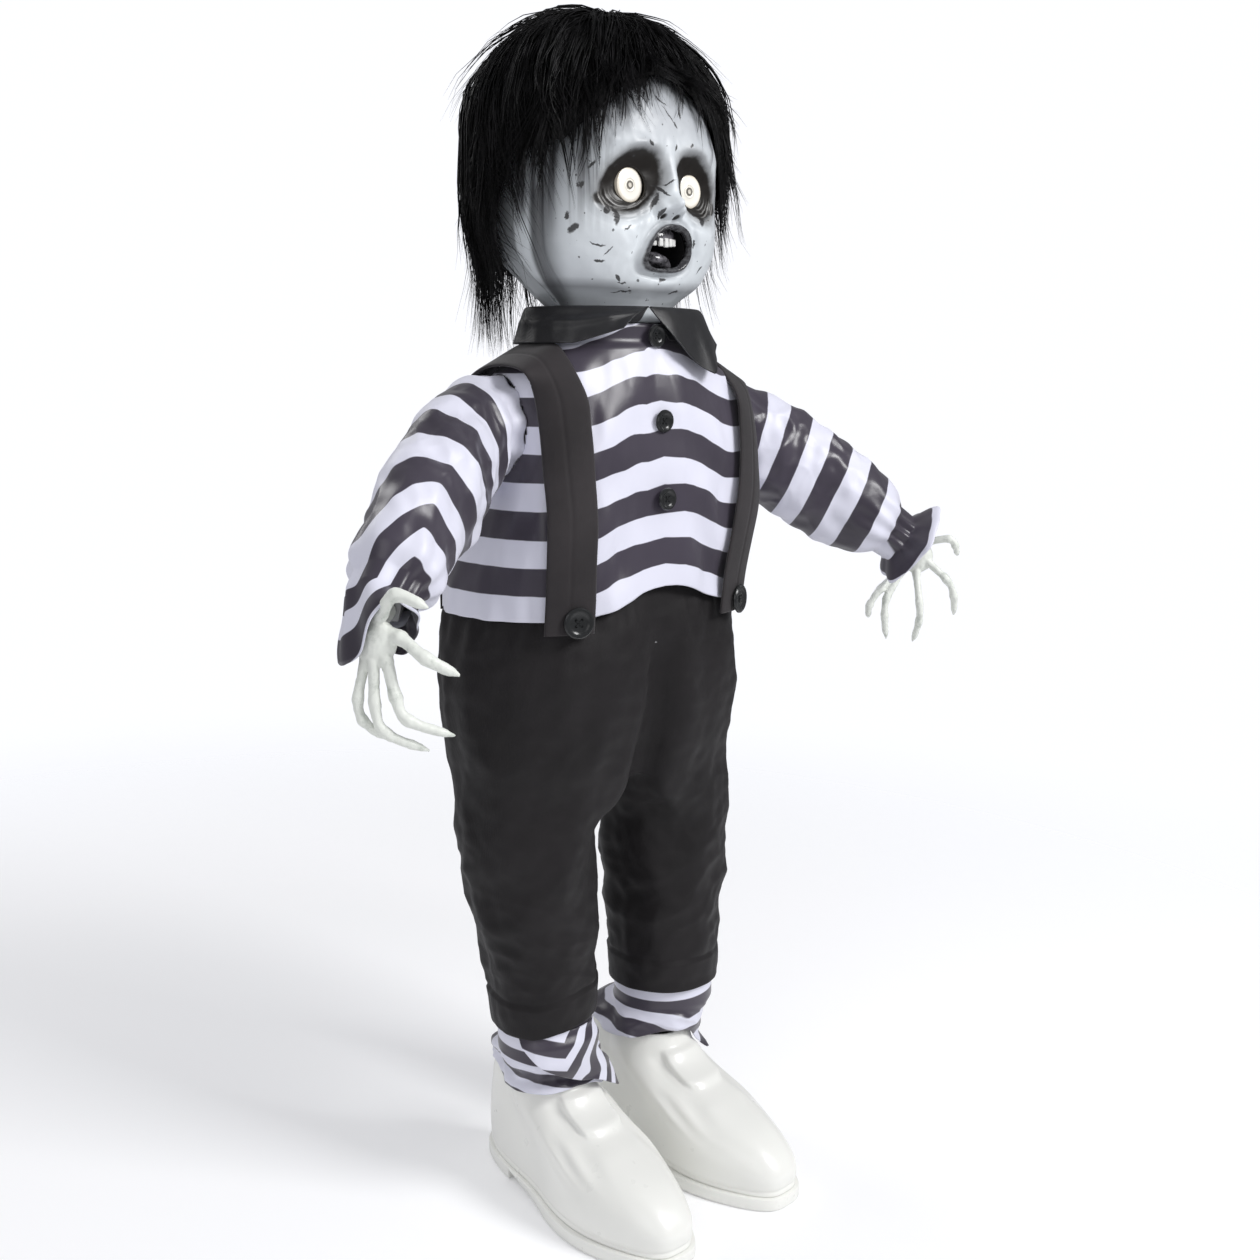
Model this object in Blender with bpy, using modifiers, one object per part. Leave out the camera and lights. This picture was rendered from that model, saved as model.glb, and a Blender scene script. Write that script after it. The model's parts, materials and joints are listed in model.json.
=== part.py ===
# Animated halloween figure: a free-standing scare doll about 0.91 m tall.
# Metres, +Z up, the figure faces -Y and its own right hand is on the -X side.
# Each section gives the driving sizes of one group of pieces and then builds them.

import math

import bmesh
import bpy
from mathutils import Matrix, Vector

# Shared clearances and walls
GAP = 0.0003                # air left between pieces that touch
CLOTH = 0.0022              # cloth with its lining
SHELL = 0.0024              # moulded plastic wall
FRAME_SHIFT_Y = 0.036       # moves the body axis so that the whole figure stands centred on the origin

# Shoes
STANCE = 0.108              # between the two shoe centrelines
TOE_OUT_DEG = 2.0
SHOE_TOE_Y = -0.163
SHOE_HEEL_Y = 0.071
SHOE_HALF_WIDTH = 0.041
SOLE_THICK = 0.014
SOLE_LEDGE = 0.003
HEEL_BREAST_Y = 0.016
ARCH_FRONT_Y = -0.045
ARCH_RISE = 0.006
SHOE_TOP_Z = 0.106
ANKLE_HALF_WIDTH = 0.030

# Legs
LEG_TUBE_R = 0.011
LEG_Y = -0.003
SOCKET_R = 0.016
SOCKET_TOP_Z = 0.060
SOCKET_FLOOR = 0.004
HEM_Z = 0.131
HEM_R = 0.0455
HEM_X = 0.068
HEM_Y = -0.006
CROTCH_Z = 0.335
WAIST_Z = 0.490
CUFF_TOP_Z = 0.152
CUFF_LOW_Z = 0.084
CUFF_AIR = 0.006            # between a cuff and the shoe inside it
CUFF_PLAY = 0.0010          # between a cuff's top and the inside of the hem

# Hips and chest
WAIST_HALF_X = 0.1212
WAIST_HALF_Y = 0.0742
WAIST_Y = 0.003
WAIST_POWER = 2.6
HIP_PLATE_Z = 0.456
HIP_PLATE_THICK = 0.014
HIP_BOSS_LENGTH = 0.040
SHIRT_HEM_Z = 0.468
CHEST_INSET = 0.007
CHEST_TOP_INSET = 0.0052    # the shirt hangs on the top of the chest
CHEST_TOP_Z = 0.645
SHOULDER_X = WAIST_HALF_X - 0.0152
SHOULDER_Y = 0.0
SHOULDER_Z = 0.615
BAR_R = 0.007
BAR_END_X = SHOULDER_X + 0.013
ARMHOLE_R = 0.018

# Spine bracket, folded from sheet
SHEET = 0.003
BRACKET_HALF_WIDTH = 0.050
BRACKET_TOP_Z = SHOULDER_Z + 0.019
BRACKET_FOOT_Y = -0.030
SHELF_Z = SHOULDER_Z - 0.019
SHELF_FRONT_Y = -0.050

# Neck drive
NECK_Y = -0.018
SHAFT_R = 0.004
SHAFT_LOW_Z = SHELF_Z - 0.012
BUSH_R = 0.009
BUSH_THICK = 0.004
GEAR_MODULE = 0.0018
GEAR_TEETH = 24
PINION_TEETH = 12
GEAR_THICK = 0.007
MOTOR_SIZE = (0.030, 0.028, 0.042)

# Arms
WRIST = (SHOULDER_X + 0.156, SHOULDER_Y - 0.098, SHOULDER_Z - 0.103)
ARM_TUBE_R = 0.010
WRIST_BOSS_R = 0.016
WRIST_PIN_R = 0.006
WRIST_PIN_LENGTH = 0.012
SLEEVE_R = 0.045
SLEEVE_ROOT_R = 0.0365
FRILL_R = 0.029
FRILL_LENGTH = 0.010

# Head
NECK_LOW_Z = 0.6905
HEAD_HEIGHT = 0.1935
HEAD_FRONT_Y = -0.083
RIM_FLARE = 0.004
EYE_X = 0.0292
EYE_SHARE = 0.483           # of the head's height, like every share below
EYE_R = 0.0122
EYE_INSET = 0.0112
LENS_THICK = 0.005
LAMP_R = 0.008
MOUTH_SHARE = 0.266
MOUTH_HALF_WIDTH = 0.0200
MOUTH_HALF_HEIGHT = 0.0162
MOUTH_DEPTH = 0.026
NECK_PLATE_THICK = 0.005
WIG_RISE = 0.029

# Collar and braces
NECK_BAND_HALF_X = 0.0680
NECK_BAND_HALF_Y = 0.0485
NECK_BAND_Y = -0.0175
NECK_BAND_TOP_Z = 0.6892
COLLAR_LOW_Z = 0.6775
COLLAR_FOLD_Z = 0.7010
COLLAR_THICK = 0.0014
COLLAR_AIR = 0.0014         # between the neck band and the collar's stand
COLLAR_EDGE_Z = 0.680
BRACE_WIDTH = 0.037
BRACE_THICK = 0.002
BUTTON_R = 0.0115
SHIRT_BUTTON_R = 0.0085
BUTTON_THICK = 0.003

# Battery box and controls
BOX_HALF_X = 0.046
BOX_LOW_Z = 0.496
BOX_TOP_Z = 0.558
BOX_BACK_Y = 0.070
BOX_DEPTH = 0.024
CELL_R = 0.00725
CELL_LENGTH = 0.0505
CELL_PITCH = 0.0150
BAY_X = -0.013
DOOR_THICK = 0.002
DOOR_HALF_X = 0.0285
DOOR_HEIGHT = 0.050
CONTROL_X = 0.031
SWITCH_Z = 0.540
SWITCH_TRAVEL = 0.006
TRY_ME_Z = 0.513
TRY_ME_TRAVEL = 0.003
ACCESS_MARGIN = 0.008
SPEAKER_R = 0.025
SPEAKER_Z = 0.503
BOARD_SIZE = (0.064, 0.0016, 0.040)
BOARD_Z = 0.560


# Scene, collections and placing

for old in list(bpy.data.objects):
    bpy.data.objects.remove(old, do_unlink=True)

PARTS = bpy.data.collections.new("animated_halloween_figure")
CUTTERS = bpy.data.collections.new("cutters")
bpy.context.scene.collection.children.link(PARTS)
bpy.context.scene.collection.children.link(CUTTERS)


def empty(name, at, parent=None):
    """An empty at a place in the figure's own frame; a moving body's empty sits on its joint's axis."""
    e = bpy.data.objects.new(name, None)
    e.empty_display_size = 0.03
    PARTS.objects.link(e)
    e["at"] = at
    base = (0.0, 0.0, 0.0)
    if parent is not None:
        e.parent = parent
        base = parent["at"]
    e.location = Vector(at) - Vector(base)
    return e


FIGURE = empty("figure_root", (0.0, 0.0, 0.0))
FIGURE.location.y = FRAME_SHIFT_Y
HEAD = empty("head_pivot", (0.0, NECK_Y, SHELF_Z), FIGURE)
PINION = empty("pinion_pivot", (GEAR_MODULE * (GEAR_TEETH + PINION_TEETH) / 2, NECK_Y, SHELF_Z), FIGURE)
ARMS = {s: empty(f"arm_pivot_{n}", (s * SHOULDER_X, SHOULDER_Y, SHOULDER_Z), FIGURE)
        for s, n in ((-1, "right"), (1, "left"))}
HANDS = {s: empty(f"hand_pivot_{n}", (s * WRIST[0], WRIST[1], WRIST[2]), ARMS[s])
         for s, n in ((-1, "right"), (1, "left"))}
DOOR_AXIS = (BAY_X, BOX_BACK_Y - DOOR_THICK / 2 - GAP, (BOX_LOW_Z + BOX_TOP_Z - DOOR_HEIGHT) / 2 + DOOR_THICK / 2)
DOOR = empty("door_pivot", DOOR_AXIS, FIGURE)
SWITCH = empty("switch_slide", (CONTROL_X, BOX_BACK_Y, SWITCH_Z), FIGURE)
TRY_ME = empty("try_me_slide", (CONTROL_X, BOX_BACK_Y, TRY_ME_Z), FIGURE)
SIDES = ((-1, "right"), (1, "left"))
MATERIALS = {}


def material(name, color, roughness, metallic=0.0):
    """A Principled material, made once for each finish and shared by the pieces that have it."""
    if name not in MATERIALS:
        m = bpy.data.materials.new(name)
        m.use_nodes = True
        shader = m.node_tree.nodes["Principled BSDF"]
        shader.inputs["Base Color"].default_value = (*color, 1.0)
        shader.inputs["Roughness"].default_value = roughness
        shader.inputs["Metallic"].default_value = metallic
        m.diffuse_color = (*color, 1.0)
        MATERIALS[name] = m
    return MATERIALS[name]


FINISH = {
    "shoe_vinyl": ((0.80, 0.80, 0.76), 0.28, 0.0),
    "hand_vinyl": ((0.76, 0.80, 0.74), 0.45, 0.0),
    "face_vinyl": ((0.66, 0.70, 0.74), 0.42, 0.0),
    "striped_satin": ((0.45, 0.44, 0.52), 0.38, 0.0),
    "black_twill": ((0.045, 0.040, 0.042), 0.75, 0.0),
    "black_satin": ((0.03, 0.03, 0.033), 0.35, 0.0),
    "button_black": ((0.02, 0.02, 0.022), 0.3, 0.0),
    "wig_black": ((0.012, 0.011, 0.011), 0.6, 0.0),
    "lens_white": ((0.98, 0.95, 0.86), 0.2, 0.0),
    "tooth_white": ((0.85, 0.85, 0.82), 0.3, 0.0),
    "tongue_dark": ((0.12, 0.11, 0.12), 0.4, 0.0),
    "lining_black": ((0.01, 0.01, 0.01), 0.6, 0.0),
    "plastic_black": ((0.03, 0.03, 0.03), 0.5, 0.0),
    "plastic_grey": ((0.35, 0.35, 0.36), 0.5, 0.0),
    "steel": ((0.55, 0.56, 0.58), 0.35, 1.0),
    "brass": ((0.70, 0.52, 0.22), 0.35, 1.0),
    "board_green": ((0.03, 0.20, 0.09), 0.5, 0.0),
    "cell_wrap": ((0.12, 0.13, 0.16), 0.35, 0.0),
    "button_red": ((0.55, 0.03, 0.03), 0.35, 0.0),
}


def put(obj, body, finish):
    """Links a piece, hangs it on its body's empty without moving it, and gives it its finish."""
    PARTS.objects.link(obj)
    obj.parent = body
    obj.location = obj.location - Vector(body["at"])
    obj.data.materials.append(material(finish, *FINISH[finish]))
    return obj


def mesh_object(name, bm):
    """Turns a bmesh in figure coordinates into an object that isn't linked yet."""
    bmesh.ops.remove_doubles(bm, verts=bm.verts, dist=1e-6)
    me = bpy.data.meshes.new(name)
    bm.to_mesh(me)
    bm.free()
    me.shade_smooth()
    me.set_sharp_from_angle(angle=math.radians(35))
    return bpy.data.objects.new(name, me)


def solidify(obj, thickness, offset=-1.0):
    m = obj.modifiers.new("wall", "SOLIDIFY")
    m.thickness = thickness
    m.offset = offset
    m.use_even_offset = True
    return obj


def bevel(obj, width, segments=2):
    m = obj.modifiers.new("rounded", "BEVEL")
    m.width = width
    m.segments = segments
    m.limit_method = "ANGLE"
    return obj


def boolean(obj, other, operation="DIFFERENCE"):
    m = obj.modifiers.new(operation.lower(), "BOOLEAN")
    m.operation = operation
    m.solver = "EXACT"
    m.object = other
    return obj


def cutter(obj):
    """A guide solid: it shapes another piece and isn't one itself."""
    CUTTERS.objects.link(obj)
    obj.parent = FIGURE
    obj.hide_render = True
    obj.display_type = "WIRE"
    return obj


def box_bmesh(size, centre):
    bm = bmesh.new()
    bmesh.ops.create_cube(bm, size=1.0)
    bmesh.ops.scale(bm, vec=size, verts=bm.verts)
    bmesh.ops.translate(bm, vec=centre, verts=bm.verts)
    return bm


AXIS_TURN = {
    "X": Matrix.Rotation(math.radians(90), 4, "Y"),
    "Y": Matrix.Rotation(math.radians(-90), 4, "X"),
    "Z": Matrix.Identity(4),
}


def cylinder_bmesh(radius, depth, centre, axis="Z", sides=20):
    bm = bmesh.new()
    bmesh.ops.create_cone(bm, cap_ends=True, segments=sides, radius1=radius, radius2=radius, depth=depth)
    bmesh.ops.transform(bm, matrix=Matrix.Translation(centre) @ AXIS_TURN[axis], verts=bm.verts)
    return bm


def between(value, xs, ys):
    """Straight-line reading of a profile at one value."""
    if value <= xs[0]:
        return ys[0]
    for x0, x1, y0, y1 in zip(xs, xs[1:], ys, ys[1:]):
        if value <= x1:
            t = (value - x0) / (x1 - x0)
            t = t * t * (3 - 2 * t) * 0.35 + t * 0.65
            return y0 + (y1 - y0) * t
    return ys[-1]


def superellipse(half_x, half_y, power, angle):
    """A point of a rounded-box outline; angle 0 is +X and -90 degrees is the front."""
    c, s = math.cos(angle), math.sin(angle)
    return (half_x * math.copysign(abs(c) ** (2 / power), c),
            half_y * math.copysign(abs(s) ** (2 / power), s))


def loft(rings, closed=True, caps=False):
    """Skins rings that have the same count of points; a ring runs anticlockwise seen from its far end."""
    bm = bmesh.new()
    rows = [[bm.verts.new(p) for p in ring] for ring in rings]
    for low, high in zip(rows, rows[1:]):
        n = len(low)
        for i in range(n if closed else n - 1):
            j = (i + 1) % n
            bm.faces.new((low[i], low[j], high[j], high[i]))
    if caps:
        bm.faces.new(list(reversed(rows[0])))
        bm.faces.new(rows[-1])
    return bm


def tube_object(name, points, radius, factors=None, resolution=2):
    """A round tube along a smooth route, as a curve with a bevel and filled caps."""
    cu = bpy.data.curves.new(name, "CURVE")
    cu.dimensions = "3D"
    cu.bevel_depth = radius
    cu.bevel_resolution = resolution
    cu.use_fill_caps = True
    sp = cu.splines.new("POLY")
    sp.points.add(len(points) - 1)
    for i, p in enumerate(points):
        sp.points[i].co = (*p, 1.0)
        sp.points[i].radius = factors[i] if factors else 1.0
    return bpy.data.objects.new(name, cu)


def tube_mesh(name, points, radius, factors=None, resolution=2):
    """The same tube as a closed mesh, which can be cut and joined."""
    curve = tube_object(name + "_route", points, radius, factors, resolution)
    bpy.context.scene.collection.objects.link(curve)
    bpy.context.view_layer.update()
    ready = curve.evaluated_get(bpy.context.evaluated_depsgraph_get())
    me = bpy.data.meshes.new_from_object(ready)
    bpy.data.objects.remove(curve, do_unlink=True)
    bm = bmesh.new()
    bm.from_mesh(me)
    bpy.data.meshes.remove(me)
    bmesh.ops.remove_doubles(bm, verts=bm.verts, dist=1e-6)
    return mesh_object(name, bm)


# Shoes: a moulded upper on a sole with a heel, and the socket inside that holds the leg tube

SHOE_LEVELS = (SOLE_THICK + GAP, 0.032, 0.050, 0.066, 0.082, SHOE_TOP_Z)
SHOE_TOES = (SHOE_TOE_Y + SOLE_LEDGE, SHOE_TOE_Y + 0.004, SHOE_TOE_Y + 0.028, -0.092, -0.052, -0.038)
SHOE_HEELS = (SHOE_HEEL_Y, SHOE_HEEL_Y + 0.001, SHOE_HEEL_Y, 0.068, 0.065, 0.055)
SHOE_WIDTHS = (SHOE_HALF_WIDTH - 0.001, SHOE_HALF_WIDTH, 0.039, 0.036, 0.033, ANKLE_HALF_WIDTH)
SHOE_COUNT = 20


def shoe_outline(toe, heel, half_width, count=SHOE_COUNT):
    """A foot-shaped outline: broad at the ball, narrow at the waist and the heel."""
    length = heel - toe
    points = []
    for i in range(count):
        a = 2 * math.pi * i / count
        along = (1 - math.cos(a)) / 2
        side = math.sin(a)
        shape = 0.80 + 0.30 * math.exp(-((along - 0.30) / 0.26) ** 2) - 0.06 * math.exp(-((along - 0.62) / 0.14) ** 2)
        wide = half_width * shape * math.copysign(abs(side) ** 0.80, side)
        points.append((wide, toe + length * along))
    return points


def shoe_placed(points, side):
    """Turns a shoe's local points out by the toe-out angle and moves them to one foot."""
    turn = -math.radians(TOE_OUT_DEG) * side
    c, s = math.cos(turn), math.sin(turn)
    return [(side * STANCE / 2 + x * c + y * s, -x * s + y * c, z) for x, y, z in points]


def make_shoe(side, word):
    rings = []
    for z, toe, heel, wide in zip(SHOE_LEVELS, SHOE_TOES, SHOE_HEELS, SHOE_WIDTHS):
        rings.append(shoe_placed([(x, y, z) for x, y in shoe_outline(toe, heel, wide)], side))
    put(solidify(mesh_object(f"shoe_upper_{word}", loft(rings)), SHELL), FIGURE, "shoe_vinyl")

    outline = shoe_outline(SHOE_TOE_Y, SHOE_HEEL_Y + SOLE_LEDGE, SHOE_HALF_WIDTH + SOLE_LEDGE)
    levels = (0.0, SOLE_THICK)
    sole = mesh_object(f"shoe_sole_{word}",
                       loft([shoe_placed([(x, y, z) for x, y in outline], side) for z in levels], caps=True))
    arch = bmesh.new()
    side_view = ((ARCH_FRONT_Y, -0.001), (HEEL_BREAST_Y, -0.001), (HEEL_BREAST_Y, ARCH_RISE))
    for x in (-0.06, 0.06):
        for y, z in side_view:
            arch.verts.new(shoe_placed([(x, y, z)], side)[0])
    bmesh.ops.convex_hull(arch, input=arch.verts)
    boolean(sole, cutter(mesh_object(f"arch_cut_{word}", arch)))
    put(sole, FIGURE, "shoe_vinyl")

    x = side * STANCE / 2
    low = SOLE_THICK + GAP
    socket = mesh_object(f"ankle_socket_{word}",
                         cylinder_bmesh(SOCKET_R, SOCKET_TOP_Z - low, (x, LEG_Y, (SOCKET_TOP_Z + low) / 2)))
    floor = low + SOCKET_FLOOR
    bore = cylinder_bmesh(LEG_TUBE_R + GAP, 0.1, (x, LEG_Y, floor + 0.05))
    boolean(socket, cutter(mesh_object(f"ankle_bore_{word}", bore)))
    put(socket, FIGURE, "plastic_black")

    tube_low = floor + GAP
    tube_top = HIP_PLATE_Z - GAP
    tube = cylinder_bmesh(LEG_TUBE_R, tube_top - tube_low, (x, LEG_Y, (tube_top + tube_low) / 2))
    put(mesh_object(f"leg_tube_{word}", tube), FIGURE, "steel")


for side, word in SIDES:
    make_shoe(side, word)


# Striped ankle cuffs: crumpled cloth tubes that hang from the trouser legs over the shoe tops

def make_ankle_cuff(side, word):
    """Low down a cuff follows the shoe at a clearance; above the shoe it draws in to the inside of the hem."""
    count = 18
    top_r = HEM_R - CLOTH - CUFF_PLAY
    inside_hem = HEM_Z - 0.003
    rings = []
    for level, z in enumerate((CUFF_LOW_Z, 0.096, SHOE_TOP_Z + 0.002, inside_hem, CUFF_TOP_Z)):
        u = max(0.0, min(1.0, (z - SHOE_TOP_Z - 0.002) / (inside_hem - SHOE_TOP_Z - 0.002)))
        ring = []
        for i in range(count):
            a = 2 * math.pi * i / count
            low_z = z - 0.004 * (1 - u) * max(0.0, math.sin(-a)) ** 2
            toe = between(low_z, SHOE_LEVELS, SHOE_TOES) - CUFF_AIR - CLOTH
            heel = between(low_z, SHOE_LEVELS, SHOE_HEELS) + CUFF_AIR + CLOTH
            wide = 1.10 * between(low_z, SHOE_LEVELS, SHOE_WIDTHS) + CUFF_AIR + CLOTH
            crumple = 0.0012 * math.sin(5 * a + 2.4 * level + side) * (1 - u)
            half = (heel - toe) / 2 + crumple
            low = ((wide + crumple) * math.cos(a), (toe + heel) / 2 + half * math.sin(a), low_z)
            low = Vector(shoe_placed([low], side)[0])
            high = Vector((side * HEM_X + top_r * math.cos(a), HEM_Y + top_r * math.sin(a), z))
            ring.append(low.lerp(high, u))
        rings.append(ring)
    put(solidify(mesh_object(f"ankle_cuff_{word}", loft(rings)), CLOTH), FIGURE, "striped_satin")


for side, word in SIDES:
    make_ankle_cuff(side, word)


# Trousers: two legs that join at the crotch, with the main drape folds

LEG_LEVELS = (HEM_Z, 0.172, 0.212, 0.255, 0.300)
LEG_XS = (HEM_X, 0.0690, 0.0705, 0.0725, 0.0740)
LEG_YS = (HEM_Y, -0.004, -0.002, 0.000, 0.001)
LEG_RADII = (HEM_R, 0.0480, 0.0505, 0.0530, 0.0545)
HIP_LEVELS = (CROTCH_Z, 0.375, 0.420, 0.455, WAIST_Z)
HIP_HALF_X = tuple(WAIST_HALF_X + wider for wider in (0.0053, 0.0073, 0.0083, 0.0056, 0.0))
HIP_HALF_Y = (0.062, 0.074, 0.080, 0.0785, WAIST_HALF_Y)
HIP_Y = (0.002, 0.004, 0.005, 0.004, WAIST_Y)
HIP_MIDDLE = (0.70, 0.92, 1.0, 1.0, 1.0)        # share of the half depth that the middle seams reach
LEG_COUNT = 20
INNER_STEP = 7              # from this point of a section on, a hip section's points lie on the middle plane


def trouser_fold(a, z):
    """Long soft folds down a leg that end at the hem, and bent creases behind the knee."""
    low = max(0.0, min(1.0, (CROTCH_Z - z) / (CROTCH_Z - HEM_Z)))
    drape = 0.0032 * low * (1 - low) * math.sin(4 * a + 9 * z) * 2
    crease = 0.0016 * math.sin(2 * math.pi * z / 0.055 + 2 * math.sin(a)) * math.exp(-((z - 0.25) / 0.05) ** 2)
    return drape + crease


def leg_section(z, x, y, r):
    ring = []
    for i in range(LEG_COUNT):
        a = 2 * math.pi * i / LEG_COUNT
        rr = r + trouser_fold(a, z)
        ring.append((x + rr * math.cos(a), y + rr * math.sin(a), z))
    return ring


def hip_section(z, half_x, half_y, cy, middle):
    """The +X half of the hips: an outer bow and, past INNER_STEP, points along the middle plane."""
    ring = []
    for i in range(LEG_COUNT):
        k = i if i <= LEG_COUNT // 2 else i - LEG_COUNT
        if abs(k) < INNER_STEP:
            x, y = superellipse(half_x, half_y, WAIST_POWER, math.pi / 2 * k / INNER_STEP)
        else:
            inner = LEG_COUNT // 2 - INNER_STEP
            x, y = 0.0, math.copysign(half_y * middle * (LEG_COUNT // 2 - abs(k)) / inner, k)
        ring.append((x, cy + y, z))
    return ring


def make_trousers():
    rings = [leg_section(*row) for row in zip(LEG_LEVELS, LEG_XS, LEG_YS, LEG_RADII)]
    bm = loft(rings + [hip_section(*row) for row in zip(HIP_LEVELS, HIP_HALF_X, HIP_HALF_Y, HIP_Y, HIP_MIDDLE)])
    inner = [f for f in bm.faces if all(abs(v.co.x) < 1e-6 for v in f.verts)]
    bmesh.ops.delete(bm, geom=inner, context="FACES")
    loose = [v for v in bm.verts if not v.link_faces]
    bmesh.ops.delete(bm, geom=loose, context="VERTS")
    obj = mesh_object("trousers", bm)
    mirror = obj.modifiers.new("other_leg", "MIRROR")
    mirror.merge_threshold = 0.0001
    put(solidify(obj, CLOTH), FIGURE, "black_twill")


make_trousers()


# Torso outline: one set of sections that the shirt, the chest shells and the hip plate all read

TORSO_Z = (SHIRT_HEM_Z, 0.500, 0.530, 0.555, 0.575, 0.600, 0.625, 0.642, 0.655, 0.665, 0.671)
TORSO_SHARES = (1.165, 1.081, 0.959, 0.846, 0.733, 0.658, 0.602, 0.489, 0.329, 0.179, 0.085)
TORSO_HALF_X = tuple(NECK_BAND_HALF_X + (WAIST_HALF_X - NECK_BAND_HALF_X) * share for share in TORSO_SHARES)
TORSO_HALF_Y = (0.0825, 0.080, 0.077, 0.075, 0.0735, 0.071, 0.067, 0.062, 0.057, 0.053, 0.050)
TORSO_Y = (0.003, 0.001, -0.002, -0.004, -0.005, -0.006, -0.008, -0.011, -0.014, -0.016, NECK_Y)
TORSO_POWER = (2.6, 3.0, 3.5, 3.7, 3.7, 3.5, 3.2, 2.8, 2.5, 2.3, 2.2)


def torso_ring(z, inset, angles):
    half_x = between(z, TORSO_Z, TORSO_HALF_X) - inset
    half_y = between(z, TORSO_Z, TORSO_HALF_Y) - inset
    cy = between(z, TORSO_Z, TORSO_Y)
    power = between(z, TORSO_Z, TORSO_POWER)
    ring = []
    for a in angles:
        x, y = superellipse(half_x, half_y, power, a)
        ring.append((x, cy + y, z))
    return ring


def even_angles(count, start=0.0, sweep=2 * math.pi, closed=True):
    steps = count if closed else count - 1
    return [start + sweep * i / steps for i in range(count)]


# Hip plate with a boss over each leg tube; the chest shells and the spine bracket stand on it

def make_hip_plate():
    inset = CLOTH + GAP * 2
    half_x = WAIST_HALF_X - inset
    half_y = WAIST_HALF_Y - inset
    ring = [superellipse(half_x, half_y, WAIST_POWER, a) for a in even_angles(24)]
    top = HIP_PLATE_Z + HIP_PLATE_THICK
    levels = (HIP_PLATE_Z - 0.004, top)
    plate = mesh_object("hip_plate", loft([[(x, WAIST_Y + y, z) for x, y in ring] for z in levels], caps=True))
    for side, word in SIDES:
        x = side * STANCE / 2
        boss = cylinder_bmesh(SOCKET_R, HIP_BOSS_LENGTH, (x, LEG_Y, HIP_PLATE_Z - HIP_BOSS_LENGTH / 2 + 0.002))
        boolean(plate, cutter(mesh_object(f"hip_boss_{word}", boss)), "UNION")
    for side, word in SIDES:
        x = side * STANCE / 2
        bore = cylinder_bmesh(LEG_TUBE_R + GAP, 0.1, (x, LEG_Y, HIP_PLATE_Z - 0.05))
        boolean(plate, cutter(mesh_object(f"hip_bore_{word}", bore)))
    put(plate, FIGURE, "plastic_grey")
    return top


HIP_TOP_Z = make_hip_plate()


# Chest shells: front and back halves that meet at the sides and hold the shoulder bar between them

def make_chest_shells():
    levels = (HIP_TOP_Z + 3 * GAP, 0.510, 0.555, 0.595, 0.625, CHEST_TOP_Z)
    insets = (CHEST_INSET + 0.005,) * 2 + (CHEST_INSET,) * 2 + (CHEST_TOP_INSET,) * 2
    bar_hole = cutter(mesh_object("shoulder_bar_hole", cylinder_bmesh(
        BAR_R + GAP, 0.3, (0, SHOULDER_Y, SHOULDER_Z), "X")))
    box_hole = cutter(mesh_object("battery_box_hole", box_bmesh(
        (2 * (BOX_HALF_X + GAP), 0.05, BOX_TOP_Z - BOX_LOW_Z + 2 * GAP),
        (0, BOX_BACK_Y, (BOX_TOP_Z + BOX_LOW_Z) / 2))))
    split = math.radians(0.4)
    for name, start in (("chest_shell_front", -math.pi + split), ("chest_shell_back", split)):
        angles = even_angles(11, start, math.pi - 2 * split, closed=False)
        rings = [torso_ring(z, inset, angles) for z, inset in zip(levels, insets)]
        shell = solidify(mesh_object(name, loft(rings, closed=False)), SHELL)
        boolean(shell, bar_hole)
        if name == "chest_shell_back":
            boolean(shell, box_hole)
        put(shell, FIGURE, "plastic_black")


make_chest_shells()


# Spine bracket: one folded sheet with a foot on the hip plate, an upright and the shelf that carries the neck drive

BRACKET_FRONT_Y = SHOULDER_Y + BAR_R + GAP
PINION_X = PINION["at"][0]


def make_spine_bracket():
    foot = HIP_TOP_Z + GAP
    back = BRACKET_FRONT_Y + SHEET
    outline = (
        (BRACKET_FOOT_Y, foot), (back, foot), (back, BRACKET_TOP_Z), (BRACKET_FRONT_Y, BRACKET_TOP_Z),
        (BRACKET_FRONT_Y, SHELF_Z), (SHELF_FRONT_Y, SHELF_Z), (SHELF_FRONT_Y, SHELF_Z - SHEET),
        (BRACKET_FRONT_Y, SHELF_Z - SHEET), (BRACKET_FRONT_Y, foot + SHEET), (BRACKET_FOOT_Y, foot + SHEET),
    )
    bm = bmesh.new()
    face = bm.faces.new([bm.verts.new((-BRACKET_HALF_WIDTH, y, z)) for y, z in outline])
    grown = bmesh.ops.extrude_face_region(bm, geom=[face])
    moved = [v for v in grown["geom"] if isinstance(v, bmesh.types.BMVert)]
    bmesh.ops.translate(bm, vec=(2 * BRACKET_HALF_WIDTH, 0, 0), verts=moved)
    bmesh.ops.recalc_face_normals(bm, faces=bm.faces)
    bracket = mesh_object("spine_bracket", bm)
    for name, x, r in (("shaft_hole", 0.0, SHAFT_R + 2 * GAP), ("pinion_hole", PINION_X, SHAFT_R)):
        hole = cylinder_bmesh(r, 0.02, (x, NECK_Y, SHELF_Z), sides=16)
        boolean(bracket, cutter(mesh_object(name, hole)))
    put(bracket, FIGURE, "steel")


make_spine_bracket()

bar = cylinder_bmesh(BAR_R, 2 * BAR_END_X, (0, SHOULDER_Y, SHOULDER_Z), "X", 20)
put(mesh_object("shoulder_bar", bar), FIGURE, "steel")


# Neck drive: bushing on the shelf, gear on the neck shaft, and a geared motor below with its pinion

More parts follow.
